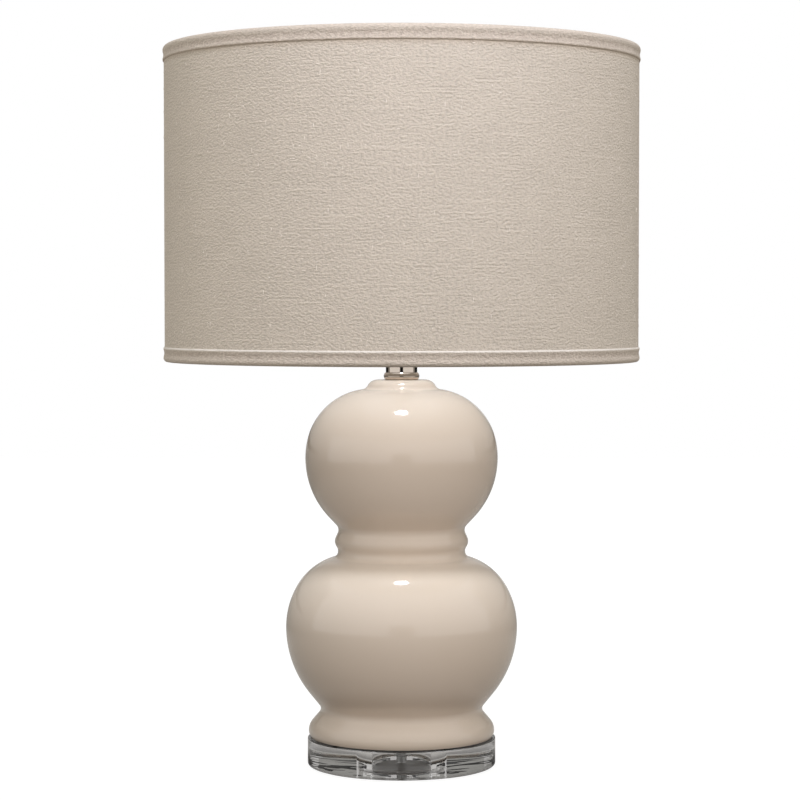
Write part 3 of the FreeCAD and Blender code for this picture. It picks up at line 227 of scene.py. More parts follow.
def cut(obj, *tools):
    """Take the tools' shapes out of a piece."""
    for tool in tools:
        step = obj.modifiers.new("cut", "BOOLEAN")
        step.operation = "DIFFERENCE"
        step.solver = "EXACT"
        step.object = tool
        applied(obj)
        bpy.data.objects.remove(tool)
    if tools:
        smooth(obj.data)
    return obj


def rod(radius, length, middle, axis, sides=48):
    """A plain round bar, used as a cutting tool."""
    half = length / 2
    bar = lathe("tool", band(0, radius, half, -half), segments=sides)
    bar.data.transform(Vector((0, 0, 1)).rotation_difference(Vector(axis)).to_matrix().to_4x4())
    return move(bar, middle)


def block(size, middle):
    """A plain box, used as a cutting tool."""
    corners = [(x, y, z) for x in (-1, 1) for y in (-1, 1) for z in (-1, 1)]
    points = [tuple(m + c * s / 2 for m, c, s in zip(middle, corner, size)) for corner in corners]
    faces = [(0, 1, 3, 2), (4, 6, 7, 5), (0, 4, 5, 1), (2, 3, 7, 6), (0, 2, 6, 4), (1, 5, 7, 3)]
    return mesh_object("tool", points, faces)


print("lathe and cutting helpers are ready")


# %% [markdown]
# ## Surface shapes that a lathe alone can't make
#
# A thread is a groove whose height shifts by one pitch in each turn. A hexagon nut and a fluted
# knob only change the radius with the angle. Each of these is a function of radius, height and
# angle that `lathe` applies to its points.

# %% Threads, flats and flutes
PITCH = 0.94  # of the fine threads on the pipe and the stud


def helix(z, a, pitch, low, high, fade):
    """A wave from 0 to 1 along a helix, which fades out towards both ends of a wall."""
    window = np.clip((z - low) / fade, 0, 1) * np.clip((high - z) / fade, 0, 1)
    return window * (0.5 - 0.5 * np.cos(2 * pi * z / pitch - a))


def thread(radius, depth, low, high):
    """A fine helical groove of that depth on the wall at one radius."""
    def shape(r, z, a):
        near = np.abs(r - radius) < 1e-6
        return np.where(near, r - depth * helix(z, a, PITCH, low, high, 1.5), r), z
    return shape


def rolled(swell, pitch, low, high, wider_than=0.0):
    """The rolled thread of a lamp socket: the whole thin wall swells out along a helix."""
    def shape(r, z, a):
        return r + swell * (r > wider_than) * helix(z, a, pitch, low, high, 2), z
    return shape


def hexagon(across, low, high, chamfer=0.9):
    """Six flats, with the corners turned off round at both faces."""
    half, outer = across / 2, across / sqrt(3)

    def shape(r, z, a):
        flats = half / np.cos((a % (pi / 3)) - pi / 6)
        depth = np.minimum(z - low, high - z)
        turned = half * 0.97 + depth * (outer - half * 0.97) / chamfer
        return np.where(r > half * 0.95, np.minimum(flats, turned), r), z
    return shape


def flutes(radius, count, tool, centre):
    """Round grooves along a knob, cut by a tool of one radius at one distance."""
    def shape(r, z, a):
        step = 2 * pi / count
        off = (a + step / 2) % step - step / 2
        inside = tool ** 2 - (centre * np.sin(off)) ** 2
        edge = centre * np.cos(off) - np.sqrt(np.clip(inside, 0, None))
        groove = np.where(inside > 0, np.minimum(edge, radius), radius)
        return np.where(r > radius * 0.8, r * groove / radius, r), z
    return shape


def nut(across, height, bore):
    """The outline of a nut; `hexagon` gives it its flats and its turned corners."""
    face, mouth = across / 2 * 0.96, bore + 0.5
    outline = [(mouth, 0), (face, 0)] + [(across, z) for z in np.linspace(0, height, 11)]
    return outline + [(face, height), (mouth, height), (bore, height - 0.5), (bore, 0.5)]


print("thread, hexagon and flute shapes are ready")


# %% [markdown]
# ## Wire
#
# The harp, the spider's arms, the rim rings and the bulb's filament are all round wire that
# follows a line. Each could be a curve with a round bevel. Here one node group does them all: it
# takes a line of edges and gives a tube, so every wire is made alike and ends as a plain mesh.

# %% The wire group
def add_node(tree, kind, inputs=(), **settings):
    """A new node with its settings. Each input is a plain value or another node's output."""
    node = tree.nodes.new(kind)
    for name, value in settings.items():
        setattr(node, name, value)
    for slot, value in dict(inputs).items():
        if isinstance(value, bpy.types.NodeSocket):
            tree.links.new(value, node.inputs[slot])
        else:
            node.inputs[slot].default_value = value
    return node


def new_group(name, **inputs):
    """A node group that takes a geometry and more inputs of the given kinds, and gives one."""
    tree = bpy.data.node_groups.new(name, "GeometryNodeTree")
    for label, kind in {"Geometry": "Geometry", **inputs}.items():
        tree.interface.new_socket(label, in_out="INPUT", socket_type="NodeSocket" + kind)
    tree.interface.new_socket("Geometry", in_out="OUTPUT", socket_type="NodeSocketGeometry")
    return tree, tree.nodes.new("NodeGroupInput").outputs


def give_out(tree, geometry, material):
    """Make a group's instances real, give them the material and hand them out."""
    real = add_node(tree, "GeometryNodeRealizeInstances", {"Geometry": geometry})
    colour = {"Geometry": real.outputs["Geometry"], "Material": material}
    painted = add_node(tree, "GeometryNodeSetMaterial", colour)
    add_node(tree, "NodeGroupOutput", {"Geometry": painted.outputs["Geometry"]})
    return tree


def wire_group():
    tree, given = new_group("Round wire", Radius="Float", Sides="Int", Material="Material")
    line = add_node(tree, "GeometryNodeMeshToCurve", {"Mesh": given["Geometry"]})
    ring = add_node(tree, "GeometryNodeCurvePrimitiveCircle",
                    {"Resolution": given["Sides"], "Radius": given["Radius"]})
    tube = add_node(tree, "GeometryNodeCurveToMesh", {
        "Curve": line.outputs["Curve"], "Profile Curve": ring.outputs["Curve"], "Fill Caps": True})
    return give_out(tree, tube.outputs["Mesh"], given["Material"])


def run_group(obj, tree, **values):
    """Run a node group on a piece with its inputs given by name, and make the result real."""
    step = obj.modifiers.new(tree.name, "NODES")
    step.node_group = tree
    for item in tree.interface.items_tree:
        if item.in_out == "INPUT" and item.name in values:
            step[item.identifier] = values[item.name]
    return applied(obj)


WIRE = wire_group()


def sweep(name, points, radius, material, sides=24, closed=False):
    """Round wire along points in millimetres."""
    mesh = bpy.data.meshes.new(name)
    count = len(points)
    edges = [(i, (i + 1) % count) for i in range(count if closed else count - 1)]
    mesh.from_pydata(in_metres(points), edges, [])
    obj = add_object(name, mesh)
    run_group(obj, WIRE, Radius=radius * MM, Sides=sides, Material=material)
    smooth(obj.data, 40)
    return obj


print("wire group:", len(WIRE.nodes), "nodes")


# %% [markdown]
# ## Finishes
#
# Glaze, linen, metal and board could each be a painted image. Procedural nodes have no seam and
# stay sharp from close by, so each finish is made of them. A small class wraps an output socket,
# so that a recipe reads as sums and products instead of long lists of links.

# %% Sockets that can be added and multiplied
class Value:
    """One output socket of a material's node tree."""

    def __init__(self, tree, socket):
        self.tree, self.socket = tree, socket

    def node(self, kind, inputs, output=0, **settings):
        """The output of a new node that takes this value or others."""
        inputs = {slot: getattr(value, "socket", value) for slot, value in inputs.items()}
        return Value(self.tree, add_node(self.tree, kind, inputs, **settings).outputs[output])

    def join(self, kind, other):
        return self.node("ShaderNodeMath", {0: self, 1: other}, operation=kind)

    def __add__(self, other):
        return self.join("ADD", other)

    def __sub__(self, other):
        return self.join("SUBTRACT", other)

    def __rsub__(self, other):
        return self.node("ShaderNodeMath", {0: other, 1: self}, operation="SUBTRACT")

    def __mul__(self, other):
        return self.join("MULTIPLY", other)

    __radd__, __rmul__ = __add__, __mul__

    def __abs__(self):
        return self.join("ABSOLUTE", 0.0)

    def above(self, low, high):
        """0 below one value, 1 above another, and a smooth step between."""
        inputs = {"Value": self, "From Min": low, "From Max": high}
        return self.node("ShaderNodeMapRange", inputs, interpolation_type="SMOOTHSTEP")

    def blend(self, first, second):
        """A colour between two by this value, each a plain colour or another blend."""
        first, second = (c if isinstance(c, Value) else (*c, 1) for c in (first, second))
        inputs = {"Factor": self, 6: first, 7: second}
        return self.node("ShaderNodeMix", inputs, 2, data_type="RGBA")


class Finish:
    """A material with a Principled shader, and the textures it is mixed from."""

    def __init__(self, name, color, roughness=0.5, **settings):
        self.material = bpy.data.materials.new(name)
        self.material.use_nodes = True
        self.tree = self.material.node_tree
        self.shader = self.tree.nodes["Principled BSDF"]
        self.shader.inputs["Base Color"].default_value = (*color, 1)
        self.shader.inputs["Roughness"].default_value = roughness
        self.material.diffuse_color = (*color, 1)
        for label, value in settings.items():
            self.shader.inputs[label.replace("_", " ")].default_value = value

    def place(self, kind="Object", stretch=(1, 1, 1)):
        """Where a texture is read: object coordinates, or the flat UV map."""
        source = add_node(self.tree, "ShaderNodeTexCoord").outputs[kind]
        inputs = {"Vector": source, "Scale": stretch}
        return add_node(self.tree, "ShaderNodeMapping", inputs).outputs["Vector"]

    def noise(self, scale, detail=3.0, kind="Object", stretch=(1, 1, 1), rough=0.5):
        inputs = {"Vector": self.place(kind, stretch), "Scale": scale, "Detail": detail,
                  "Roughness": rough}
        node = add_node(self.tree, "ShaderNodeTexNoise", inputs)
        return Value(self.tree, node.outputs["Fac"])

    def height(self):
        """The height above the ground, in metres."""
        node = add_node(self.tree, "ShaderNodeSeparateXYZ", {0: self.place()})
        return Value(self.tree, node.outputs["Z"])

    def bump(self, height, distance, strength=1.0):
        inputs = {"Strength": strength, "Distance": distance, "Height": height.socket}
        normal = add_node(self.tree, "ShaderNodeBump", inputs).outputs["Normal"]
        self.tree.links.new(normal, self.shader.inputs["Normal"])
        return self

    def to(self, label, value):
        self.tree.links.new(value.socket, self.shader.inputs[label])
        return self


print("helpers for finishes are ready")


# %% The glaze, the linen and the clear block
def cream_glaze():
    """Cream under a clear gloss, with a little drift in tone from the brush."""
    finish = Finish("cream_glaze", (0.83, 0.735, 0.645), 0.06, IOR=1.5)
    drift = finish.noise(14, 2)
    finish.to("Base Color", drift.blend((0.82, 0.722, 0.627), (0.84, 0.748, 0.663)))
    return finish.bump(finish.noise(9, 1), 0.0005, 0.2).material


MIDDLE, SHADE_HALF = 0.5103, 0.1417  # the shade's middle height and half its height, in metres


def slub_linen(name, tint, relief, hem=False):
    """Plain weave with thick and thin threads both ways and a few flecks. A hem has a mottled
    painted shade in its groove, a painted shadow on the top hem's lower fold and a painted
    highlight on the bottom hem's upper fold; the cloth just under the top hem has a painted
    shadow."""
    finish = Finish(name, tint, 0.9, Sheen_Weight=0.1, Sheen_Roughness=0.5)
    grain = finish.noise(470, 3, "UV", (0.78, 1.15, 1), 0.6)
    weft = finish.noise(520, 2, "UV", (0.10, 1, 1), 0.6)
    warp = finish.noise(520, 2, "UV", (1, 0.16, 1), 0.6)
    slub = finish.noise(300, 1, "UV", (0.035, 1, 1)).above(0.60, 0.72)
    patch = finish.noise(35, 3, "UV", (0.5, 1, 1))
    weft_share, slub_share = (0.10, 0.0) if hem else (0.26, 0.10)
    height = grain * 1.1 + weft * weft_share + warp * 0.08 + slub * slub_share
    tone = (height * 0.6 + patch * 0.12).above(0.36, 0.58)
    dark, light = [c * 0.90 for c in tint], [min(1, c * 1.08) for c in tint]
    cloth = tone.blend(dark, light)
    from_middle = finish.height() - MIDDLE
    if hem:
        rim = SHADE_HALF - abs(from_middle)
        groove = rim.above(0.0050, 0.0066) * (1 - rim.above(0.0096, 0.0118))
        # Painted shade: the hem's groove is darkened, mottled, as a recess in shade.
        painted_groove_shade = finish.noise(260, 2, "UV").above(0.34, 0.66) * 0.24 + 0.05
        cloth = (groove * painted_groove_shade).blend(cloth, (0.28, 0.20, 0.16))
        upper, lower = from_middle.above(0, 0.001), (from_middle * -1).above(0, 0.001)
        shadow, painted_fold_highlight = rim.above(0.0121, 0.0127) * upper, rim.above(0.0117, 0.0124) * lower
        # Painted shadow: a brown line along the top hem's lower fold, which faces down.
        cloth = (shadow * 0.35).blend(cloth, (0.36, 0.25, 0.16))
        # Painted highlight: a pale line where the bottom hem's upper fold catches the light from
        # above.
        cloth = (painted_fold_highlight * 0.85).blend(cloth, (0.95, 0.91, 0.86))
    else:
        # Painted shadow: a brownish band on the cloth just under the top hem.
        painted_hem_shadow = from_middle.above(SHADE_HALF - 0.0188, SHADE_HALF - 0.0138) * 0.30
        cloth = painted_hem_shadow.blend(cloth, (0.40, 0.30, 0.21))
    fleck = finish.noise(330, 1, "UV", (0.6, 1, 1)).above(0.775, 0.83)
    finish.to("Base Color", (fleck * 0.5).blend(cloth, (0.28, 0.20, 0.13)))
    return finish.bump(height, relief, 1.0).material


def clear_block():
    """Polished all round, with a slow ripple on the two level faces only."""
    tint, half_height = (0.91, 0.905, 0.905), 0.0127
    finish = Finish("clear_acrylic", tint, 0.01, Transmission_Weight=1.0, IOR=1.49)
    level_face = abs(finish.height() - half_height).above(0.0112, 0.0122)
    ripple = finish.noise(22, 2) * level_face
    return finish.bump(ripple, 0.004, 0.3).material


print("recipes for the glaze, the linen and the clear block are ready")


# %% Metals, boards and plastics
def metal(name, color, roughness, grain=0.0):
    finish = Finish(name, color, roughness, Metallic=1.0)
    if grain:
        brushed = finish.noise(400, 3, stretch=(1, 1, 0.15))
        finish.to("Roughness", brushed * grain + (roughness - grain / 2))
    return finish.material


def board(name, color, contrast=0.15, roughness=0.92):
    finish = Finish(name, color, roughness)
    fibre = finish.noise(700, 4, rough=0.7)
    dark = [c * (1 - contrast) for c in color]
    light = [min(1, c * (1 + contrast)) for c in color]
    finish.to("Base Color", fibre.blend(dark, light))
    return finish.bump(fibre, 0.0003, 0.5).material


def plastic(name, color, roughness):
    finish = Finish(name, color, roughness)
    return finish.bump(finish.noise(1200, 2), 0.00004, 0.3).material


GLAZE = cream_glaze()
LINEN = slub_linen("slub_linen", (0.68, 0.615, 0.54), 0.0013)
HEM = slub_linen("hem_linen", (0.70, 0.625, 0.55), 0.0014, hem=True)
CLEAR = clear_block()
GLASS = Finish("bulb_glass", (0.99,) * 3, 0.0, Transmission_Weight=1.0, IOR=1.46).material
NICKEL = metal("polished_nickel", (0.62, 0.54, 0.465), 0.07)
SATIN = metal("satin_nickel", (0.72, 0.69, 0.65), 0.28, 0.1)
ZINC = metal("zinc_plate", (0.66, 0.66, 0.65), 0.34, 0.12)
BRASS = metal("brass", (0.80, 0.60, 0.30), 0.25, 0.08)
ALUMINIUM = metal("rolled_aluminium", (0.82, 0.82, 0.82), 0.3, 0.1)
DULL = metal("dull_steel", (0.34, 0.33, 0.32), 0.45, 0.1)
SOLDER = metal("solder", (0.62, 0.61, 0.59), 0.4)
TUNGSTEN = metal("dull_tungsten", (0.26, 0.25, 0.24), 0.45)
COVER = board("cover_board", (0.40, 0.37, 0.34), 0.15, 0.4)
LINER = board("liner_board", (0.075, 0.05, 0.035))
FOAM = plastic("black_foam", (0.012, 0.012, 0.012), 0.9)
BLACK = plastic("black_moulding", (0.018, 0.018, 0.018), 0.22)
STYRENE = plastic("white_styrene", (0.84, 0.82, 0.78), 0.45)
print(len(bpy.data.materials), "finishes")


# %% [markdown]
# ## Standing in for the construction solids
#
# `stand_for` hands a piece its finish and the body that it rides on, and hides the solid
# that it stands for.

# %% Standing in
PIECES = {"body": [], "rest": []}  # the body's lights reach only the first list
BODY_NODES = (
    "ceramic_foot", "acrylic_base", "pocket_cover", "foot_gasket", "check_ring", "neck_spacer",
    "lamp_pipe", "base_nut", "base_flat_washer", "base_lock_washer", "cord_bushing",
)


def paint(obj, material):
    obj.data.materials.clear()
    obj.data.materials.append(material)


def stand_for(obj, material, node, part=""):
    obj.name = obj.data.name = node + part + "_form"
    paint(obj, material)
    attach(obj, NODES[node]["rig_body"])
    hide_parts(node)
    PIECES["body" if node in BODY_NODES else "rest"].append(obj)
    return obj


def count_pieces(what):
    print(what, sum(map(len, PIECES.values())), "pieces so far")


def turned(node, outline, material, radius=0.3, steps=3, seat=None, part="", cuts=(),
           place=((0, 0, 0),), **more):
    """A turned piece on its solid's foot or another seat, cut by tools and then placed."""
    points = ease(outline, radius, steps) if radius else outline
    piece = cut(lathe(node, points, foot(node) if seat is None else seat, **more), *cuts)
    return stand_for(move(piece, *place), material, node, part)


def from_solid(node, material, bevel):
    """A bent or punched piece: its solid's own mesh with flat faces whole and edges eased."""
    obj = add_object(node + "_piece", NODES[node].data.copy())
    weld(obj.data, 1e-6, flat_within=radians(1))
    step = obj.modifiers.new("eased", "BEVEL")
    step.width, step.segments, step.limit_method = bevel * MM, 2, "ANGLE"
    step.angle_limit = radians(40)
    smooth(applied(obj).data)
    return stand_for(obj, material, node)


# %% [markdown]
# ## The ceramic body
#
# A curve drawn by hand would show each small error in the glaze's reflections, so the gourd's
# outline is a chain of arcs. Two arcs that bulge the same way touch from inside,
# and between a bulge and a groove there is a straight tangent. Only centres and radii are
# given, and where each arc ends follows from them. The body was fired in one piece, so one
# mesh stands for the foot, the lower and the upper gourd.

# %% Arcs in a chain
WALL, FLOOR, CROWN = 5.5, 5.5, 325.3  # the wall's and the floor's thickness, the whole height
CLEARANCE, FLOOR_HOLE = 5.1, 11.0  # radii of the pipe's holes and of the hole in the floor
CROWN_ROUND = 10.0  # radius of the edge round the crown


def meet(first, reach, second, other_reach, near):
    """The point at one reach from each of two centres that lies nearest a third."""
    first, second = np.array(first, float), np.array(second, float)
    apart = second - first
    gap = np.linalg.norm(apart)
    along = (reach ** 2 - other_reach ** 2 + gap ** 2) / (2 * gap)
    rise = sqrt(reach ** 2 - along ** 2)
    line = apart / gap
    side = np.array([-line[1], line[0]])
    options = [first + line * along + side * rise * sign for sign in (1, -1)]
    return min(options, key=lambda point: np.linalg.norm(point - np.array(near)))


def gourd_arcs(inset):
    """Centre, radius and kind of each arc from the foot up; inset runs inside the surface."""
    bulge = lambda r, z, radius: (np.array([r, z], float), radius - inset, False)
    groove = lambda r, z, radius: (np.array([r, z], float), radius + inset, True)
    shoulder = meet((30.9, 99.8), 18.5, (64.4, 169.1), 62.5, (60, 99.8))
    lean = radians(13.3)
    top = np.array([14.7, 254.1]) + 13.0 * np.array([cos(lean), sin(lean)])
    fillet = meet((22.0, 315.3), 16.0, top, 66.0, (28.0, 315.3))
    return [
        bulge(75.8, 5.1, 9.0), bulge(71.8, 5.1, 13.0), groove(79.8, 25.0, 6.0),
        bulge(10.4, 99.8, 95.0), bulge(30.9, 99.8, 74.5), bulge(*shoulder, 56.0),
        groove(64.4, 169.1, 6.5), bulge(52.3, 178.1, 8.5), groove(64.1, 188.4, 6.5),
        bulge(9.2, 254.1, 78.5), bulge(14.7, 254.1, 73.0), bulge(*top, 60.0),
        groove(*fillet, 6.0 - 2 * inset), bulge(22.0, 315.3, CROWN_ROUND),
    ]


def touch(one, other):
    """The direction from one arc's centre to the place where it hands over to the next."""
    apart = other[0] - one[0]
    if one[2] == other[2]:
        apart = apart if one[1] > other[1] else -apart
        return atan2(apart[1], apart[0])
    lean = acos(min(1.0, (one[1] + other[1]) / np.linalg.norm(apart)))
    return atan2(apart[1], apart[0]) + (lean if one[2] else -lean)


def follow(arcs, first_angle, last_angle, step):
    """Points along the chain, from one angle on its first arc to one on its last."""
    points, begin = [], first_angle
    for index, (centre, radius, hollow) in enumerate(arcs):
        last = index + 1 == len(arcs)
        end = last_angle if last else touch(arcs[index], arcs[index + 1])
        turn = (end - begin + pi) % (2 * pi) - pi
        count = max(2, round(abs(turn) * radius / step))
        for a in np.linspace(begin, begin + turn, count + 1):
            points.append((centre[0] + radius * cos(a), centre[1] + radius * sin(a), 0))
        if not last:
            begin = end + (pi if arcs[index + 1][2] != hollow else 0)
    kept = [points[0]]
    for point in points[1:]:
        if dist(point[:2], kept[-1][:2]) > 1e-3:
            kept.append(point)
    return kept


print(len(gourd_arcs(0.0)), "arcs from foot to crown")


# %% The glazed body
def gourd():
    outer, inner = gourd_arcs(0.0), gourd_arcs(WALL)[1:12]
    (_, toe_height), toe_radius, _ = outer[0]
    (_, heel_height), heel_radius, _ = outer[1]
    skin = follow(outer, -asin(toe_height / toe_radius), pi / 2, 1.6)
    low = asin((FLOOR - heel_height) / (heel_radius - WALL))
    top_centre, top_radius, _ = inner[-1]
    high = asin((CROWN - CROWN_ROUND - WALL - top_centre[1]) / top_radius)
    hollow = follow(inner, low, high, 6.0)
    outline = [(FLOOR_HOLE, 0, 0.6)] + skin
    outline += [(CLEARANCE, CROWN, 0.4), (CLEARANCE, hollow[-1][1], 0.4)]
    outline += hollow[::-1] + [(FLOOR_HOLE, FLOOR, 0.6)]
    return lathe("gourd", ease(outline), foot("ceramic_foot"), 256, sharp=40)


body = stand_for(gourd(), GLAZE, "ceramic_foot", "_to_crown")
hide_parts("ceramic_lower", "ceramic_upper")
print("gourd:", len(body.data.polygons), "faces,", [round(v, 4) for v in body.dimensions])


# %% [markdown]
# ## The clear base and what is under it
#
# The block is one turned piece with a pocket below. A nut, two washers and the end of the pipe
# sit in the pocket behind a board disc, and all of them show through the block. The block's
# outline holds its pocket and its rounds, so only the cord's hole has to be cut.

# %% Base block
BASE, BASE_TALL, POCKET, POCKET_DEEP = 85.8, 25.4, 27.4, 19.0
CORD_HEIGHT = 10.5
base_outline = [
    (POCKET, 0, 0.3), (BASE, 0, 3.2), (BASE, BASE_TALL, 1.2), (CLEARANCE, BASE_TALL, 0.3),
    (CLEARANCE, POCKET_DEEP, 0.3), (POCKET, POCKET_DEEP, 0.6),
]
cord_hole = rod(4.6, 80, (0, 60, CORD_HEIGHT), (0, 1, 0))
turned("acrylic_base", base_outline, CLEAR, steps=6, seat=0.0, cuts=[cord_hole], segments=256)

turned("pocket_cover", band(0, 27.3, 1.5), COVER)
turned("foot_gasket", band(30, 79, 1), FOAM, 0.2, segments=128)

bushing = [(3.4, 0), (4.5, 0), (4.5, 12), (6.6, 12, 0.5), (6.6, 13.5, 0.6), (3.4, 13.5, 0.6)]
lying = ((0, 73.8, CORD_HEIGHT), -90, "X")
turned("cord_bushing", bushing, BLACK, seat=0.0, place=lying, segments=64)
count_pieces("body and base:")

# %% Pipe, nuts and washers
PIPE, PIPE_HOLE = 4.85, 3.4
pipe_tall = (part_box("lamp_pipe")[1].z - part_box("lamp_pipe")[0].z) / MM
low_end, high_start = 26, pipe_tall - 16  # the pipe is threaded below one and above the other
pipe_wall = wall(PIPE, 0, low_end, 0.15) + wall(PIPE, high_start, pipe_tall, 0.15)


def pipe_thread(r, z, a):
    r, z = thread(PIPE, 0.5, 0, low_end)(r, z, a)
    return thread(PIPE, 0.5, high_start, pipe_tall + 2)(r, z, a)


pipe = [(PIPE_HOLE, 0, 0.3)] + pipe_wall + [(PIPE_HOLE, pipe_tall, 0.3)]
turned("lamp_pipe", pipe, ZINC, segments=32, shape=pipe_thread)
turned("base_flat_washer", band(CLEARANCE, 14, 1.5), DULL, 0.35)
split = block((6, 1.2, 4), (7.5, 0, foot("base_lock_washer") + 0.7))
turned("base_lock_washer", band(CLEARANCE, 8, 1.4), DULL, cuts=[split])
for node, tall, finish in (("base_nut", 5.0, DULL), ("neck_nut", 3.5, ZINC)):
    turned(node, nut(14.3, tall, CLEARANCE), finish, 0, shape=hexagon(14.3, 0, tall), sharp=24)
count_pieces("with the pipe, nuts and washers:")

# %% Bead and neck
bead = [(CLEARANCE, 0)] + arc(11.595, 3.2, 4.6, -44, 44, 5) + [(CLEARANCE, 6.4)]
turned("check_ring", bead, NICKEL, segments=128)
tube = [(13.1, 0), (14.3, 0), (14.3, 28, 0.5), (CLEARANCE, 28), (CLEARANCE, 26), (13.1, 26)]
turned("neck_spacer", tube, NICKEL, segments=128)
count_pieces("with the neck:")


# %% [markdown]
# ## The harp and its stud
#
# A strip saddle is clamped under the socket. The harp's two feet stand over its prongs, with a
# sleeve round each, and the wire swings out round the bulb to a collar at the top. The stud
# turns in that collar and carries the shade. The wire could be drawn by hand, but its line is
# worked out from its bends, so that both sides match and each bend is round.

# %% Saddle and harp
from_solid("harp_saddle", SATIN, 0.25)

REACH, LEG = 30.0, 36.0  # the legs' distance from the middle, and their height
HALF, RISE = 57.0, 232.6  # half of the harp's width, and its height
SWING, CROWN_ARC = 60.0, 49.0  # radii of the side bends and of the two top corners
harp_seat = foot("harp")
bend = acos(1 - (HALF - REACH) / (2 * SWING))


def harp_line():
    """One side of the harp from its foot to the middle of the top, then the other side."""
    lean, top = degrees(bend), LEG + 2 * SWING * sin(bend)
    side = [(REACH, z, 0) for z in (7.0, 20.0, LEG)]
    side += arc(REACH + SWING, LEG, SWING, 180, 180 - lean, 3.3)[1:]
    side += arc(HALF - SWING, top, SWING, -lean, 0, 3.3)[1:]
    side += arc(HALF - CROWN_ARC, RISE - CROWN_ARC, CROWN_ARC, 0, 90, 5) + [(0, RISE, 0)]
    other = [(-x, z, 0) for x, z, _ in side[-2::-1]]
    return [(x, 0, z + harp_seat) for x, z, _ in side + other]


stand_for(sweep("harp_wire", harp_line(), 2.0, SATIN, 28), SATIN, "harp", "_wire")
shoe, sleeve = [(0, 0), (3.2, 0), (3.2, 14, 0.8), (0, 14)], band(3.27, 4.17, 14)
for side, sign in SIDES:
    leg = ((sign * REACH, 0, 0),)
    slit = block((2.0, 4.6, 10.4), (0, 0, harp_seat + 5.1))
    turned("harp", shoe, SATIN, part="_foot_" + side, cuts=[slit], place=leg, segments=48)
    turned("harp_sleeve_" + side, sleeve, SATIN, seat=harp_seat, place=leg, segments=64)
turned("harp", band(2.56, 6, 3.2, -3.2), SATIN, 0.6, seat=harp_seat + RISE, part="_collar",
       segments=64)
count_pieces("with the harp:")

# %% Stud and finial
STUD = 3.175
stud = [
    (0, 0), (4.2, 0, 0.6), (4.2, 1.4), (2.5, 1.4), (2.5, 8.2),
    (9.5, 8.2, 0.5), (9.5, 10.2, 0.5), (STUD, 10.2, 0.2),
]
stud += wall(STUD, 10.4, 22.7, 0.15) + [(2.6, 23.2, 0), (0, 23.2)]
turned("harp_stud", stud, ZINC, segments=64, shape=thread(STUD, 0.45, 10.6, 24))
ball = arc(0, 15.745, 8.0, -51.3, 90, 6)
finial = [(3.255, 0), (7.5, 0, 0.5), (7.5, 3, 0.7), (5, 5.5, 0.8)] + ball
finial += [(0, 13.5), (3.255, 13.5)]
turned("finial", finial, NICKEL)
print("harp top at", round(harp_seat + RISE, 1), "mm")


# %% [markdown]
# ## The socket and its switch
#
# A cap screwed on the pipe, a shell with a board liner, the moulded body and its contacts. The
# switch's knob comes out through a hole in the front. All but one contact is turned on the
# lathe, because the real parts are drawn and turned too, and Booleans cut the cross holes.

# %% Cap, shell and liner
switch_height, screw_height = foot("socket_cap") + 22.5, foot("socket_cap") + 2.3
cap = [
    (CLEARANCE, 0), (9, 0, 0.6), (9, 4.5, 1.5), (17.2, 11.5, 3.0), (17.2, 18), (16.4, 18),
    (16.4, 11.9, 2.6), (8.2, 4.9), (8.2, 11), (CLEARANCE, 11),
]
screw_hole = rod(1.7, 8, (8, 0, screw_height), (1, 0, 0), 32)
turned("socket_cap", cap, SATIN, steps=6, cuts=[screw_hole])
turned("cap_set_screw", band(0, 1.6, 4.6), ZINC, 0.2, seat=0.0, segments=32,
       cuts=[block((4, 0.5, 1.2), (0, 0, 4.6))], place=((4.95, 0, screw_height), 90, "Y"))


def stem_hole(y, radius=3.0, length=14, sides=48):
    return rod(radius, length, (0, y, switch_height), (0, 1, 0), sides)


def beading(r, z, a):
    """A shallow rolled groove round the shell."""
    return np.where(r > 15.7, r - 0.22 * np.exp(-((z - 30) / 0.9) ** 2), r), z


shell = [(15.8, 0), (16.3, 0, 0.1)] + wall(16.3, 20, 40, 0.4)
shell += [(16.3, 46, 0.5), (14.6, 46, 0.2), (14.6, 45.5, 0.2), (15.8, 45.5)]
turned("socket_shell", shell, SATIN, 0.15, cuts=[stem_hole(-16)], shape=beading)
turned("socket_liner", band(15.1, 15.6, 43), LINER, 0.1, cuts=[stem_hole(-15)])
count_pieces("with the socket's cap and shell:")

# %% Insulating body and contacts
screw_line = foot("socket_body") + 5.5
recesses = [stem_hole(-13.92, 1.88, 10, 32)]
for sign in (-1, 1):
    recesses.append(rod(3.1, 4, (sign * 14.6, 0, screw_line), (1, 0, 0)))
    recesses.append(rod(2.0, 6, (sign * 12.4, 0, screw_line), (1, 0, 0)))
turned("socket_body", band(3, 14.8, 15.5), BLACK, 0.4, cuts=recesses)
head = [(0, 0), (1.9, 0), (1.9, 3.2), (3, 3.2), (3, 4.6, 0.5), (0, 4.6)]
for side, sign, finish in (("left", -1, BRASS), ("right", 1, ZINC)):
    turned("terminal_screw_" + side, head, finish, 0.15, seat=0.0, segments=48,
           cuts=[block((6.4, 0.7, 1.2), (0, 0, 4.6))],
           place=((sign * 9.4, 0, screw_line), sign * 90, "Y"))

thin_wall = wall(13.7, 0, 25.2, 0.45) + wall(13.3, 25.2, 0, 0.45)
turned("screw_shell", thin_wall, BRASS, shape=rolled(0.7, 3.6, 1.8, 23.4))
from_solid("centre_contact", BRASS, 0.1)
count_pieces("with the socket's body and contacts:")

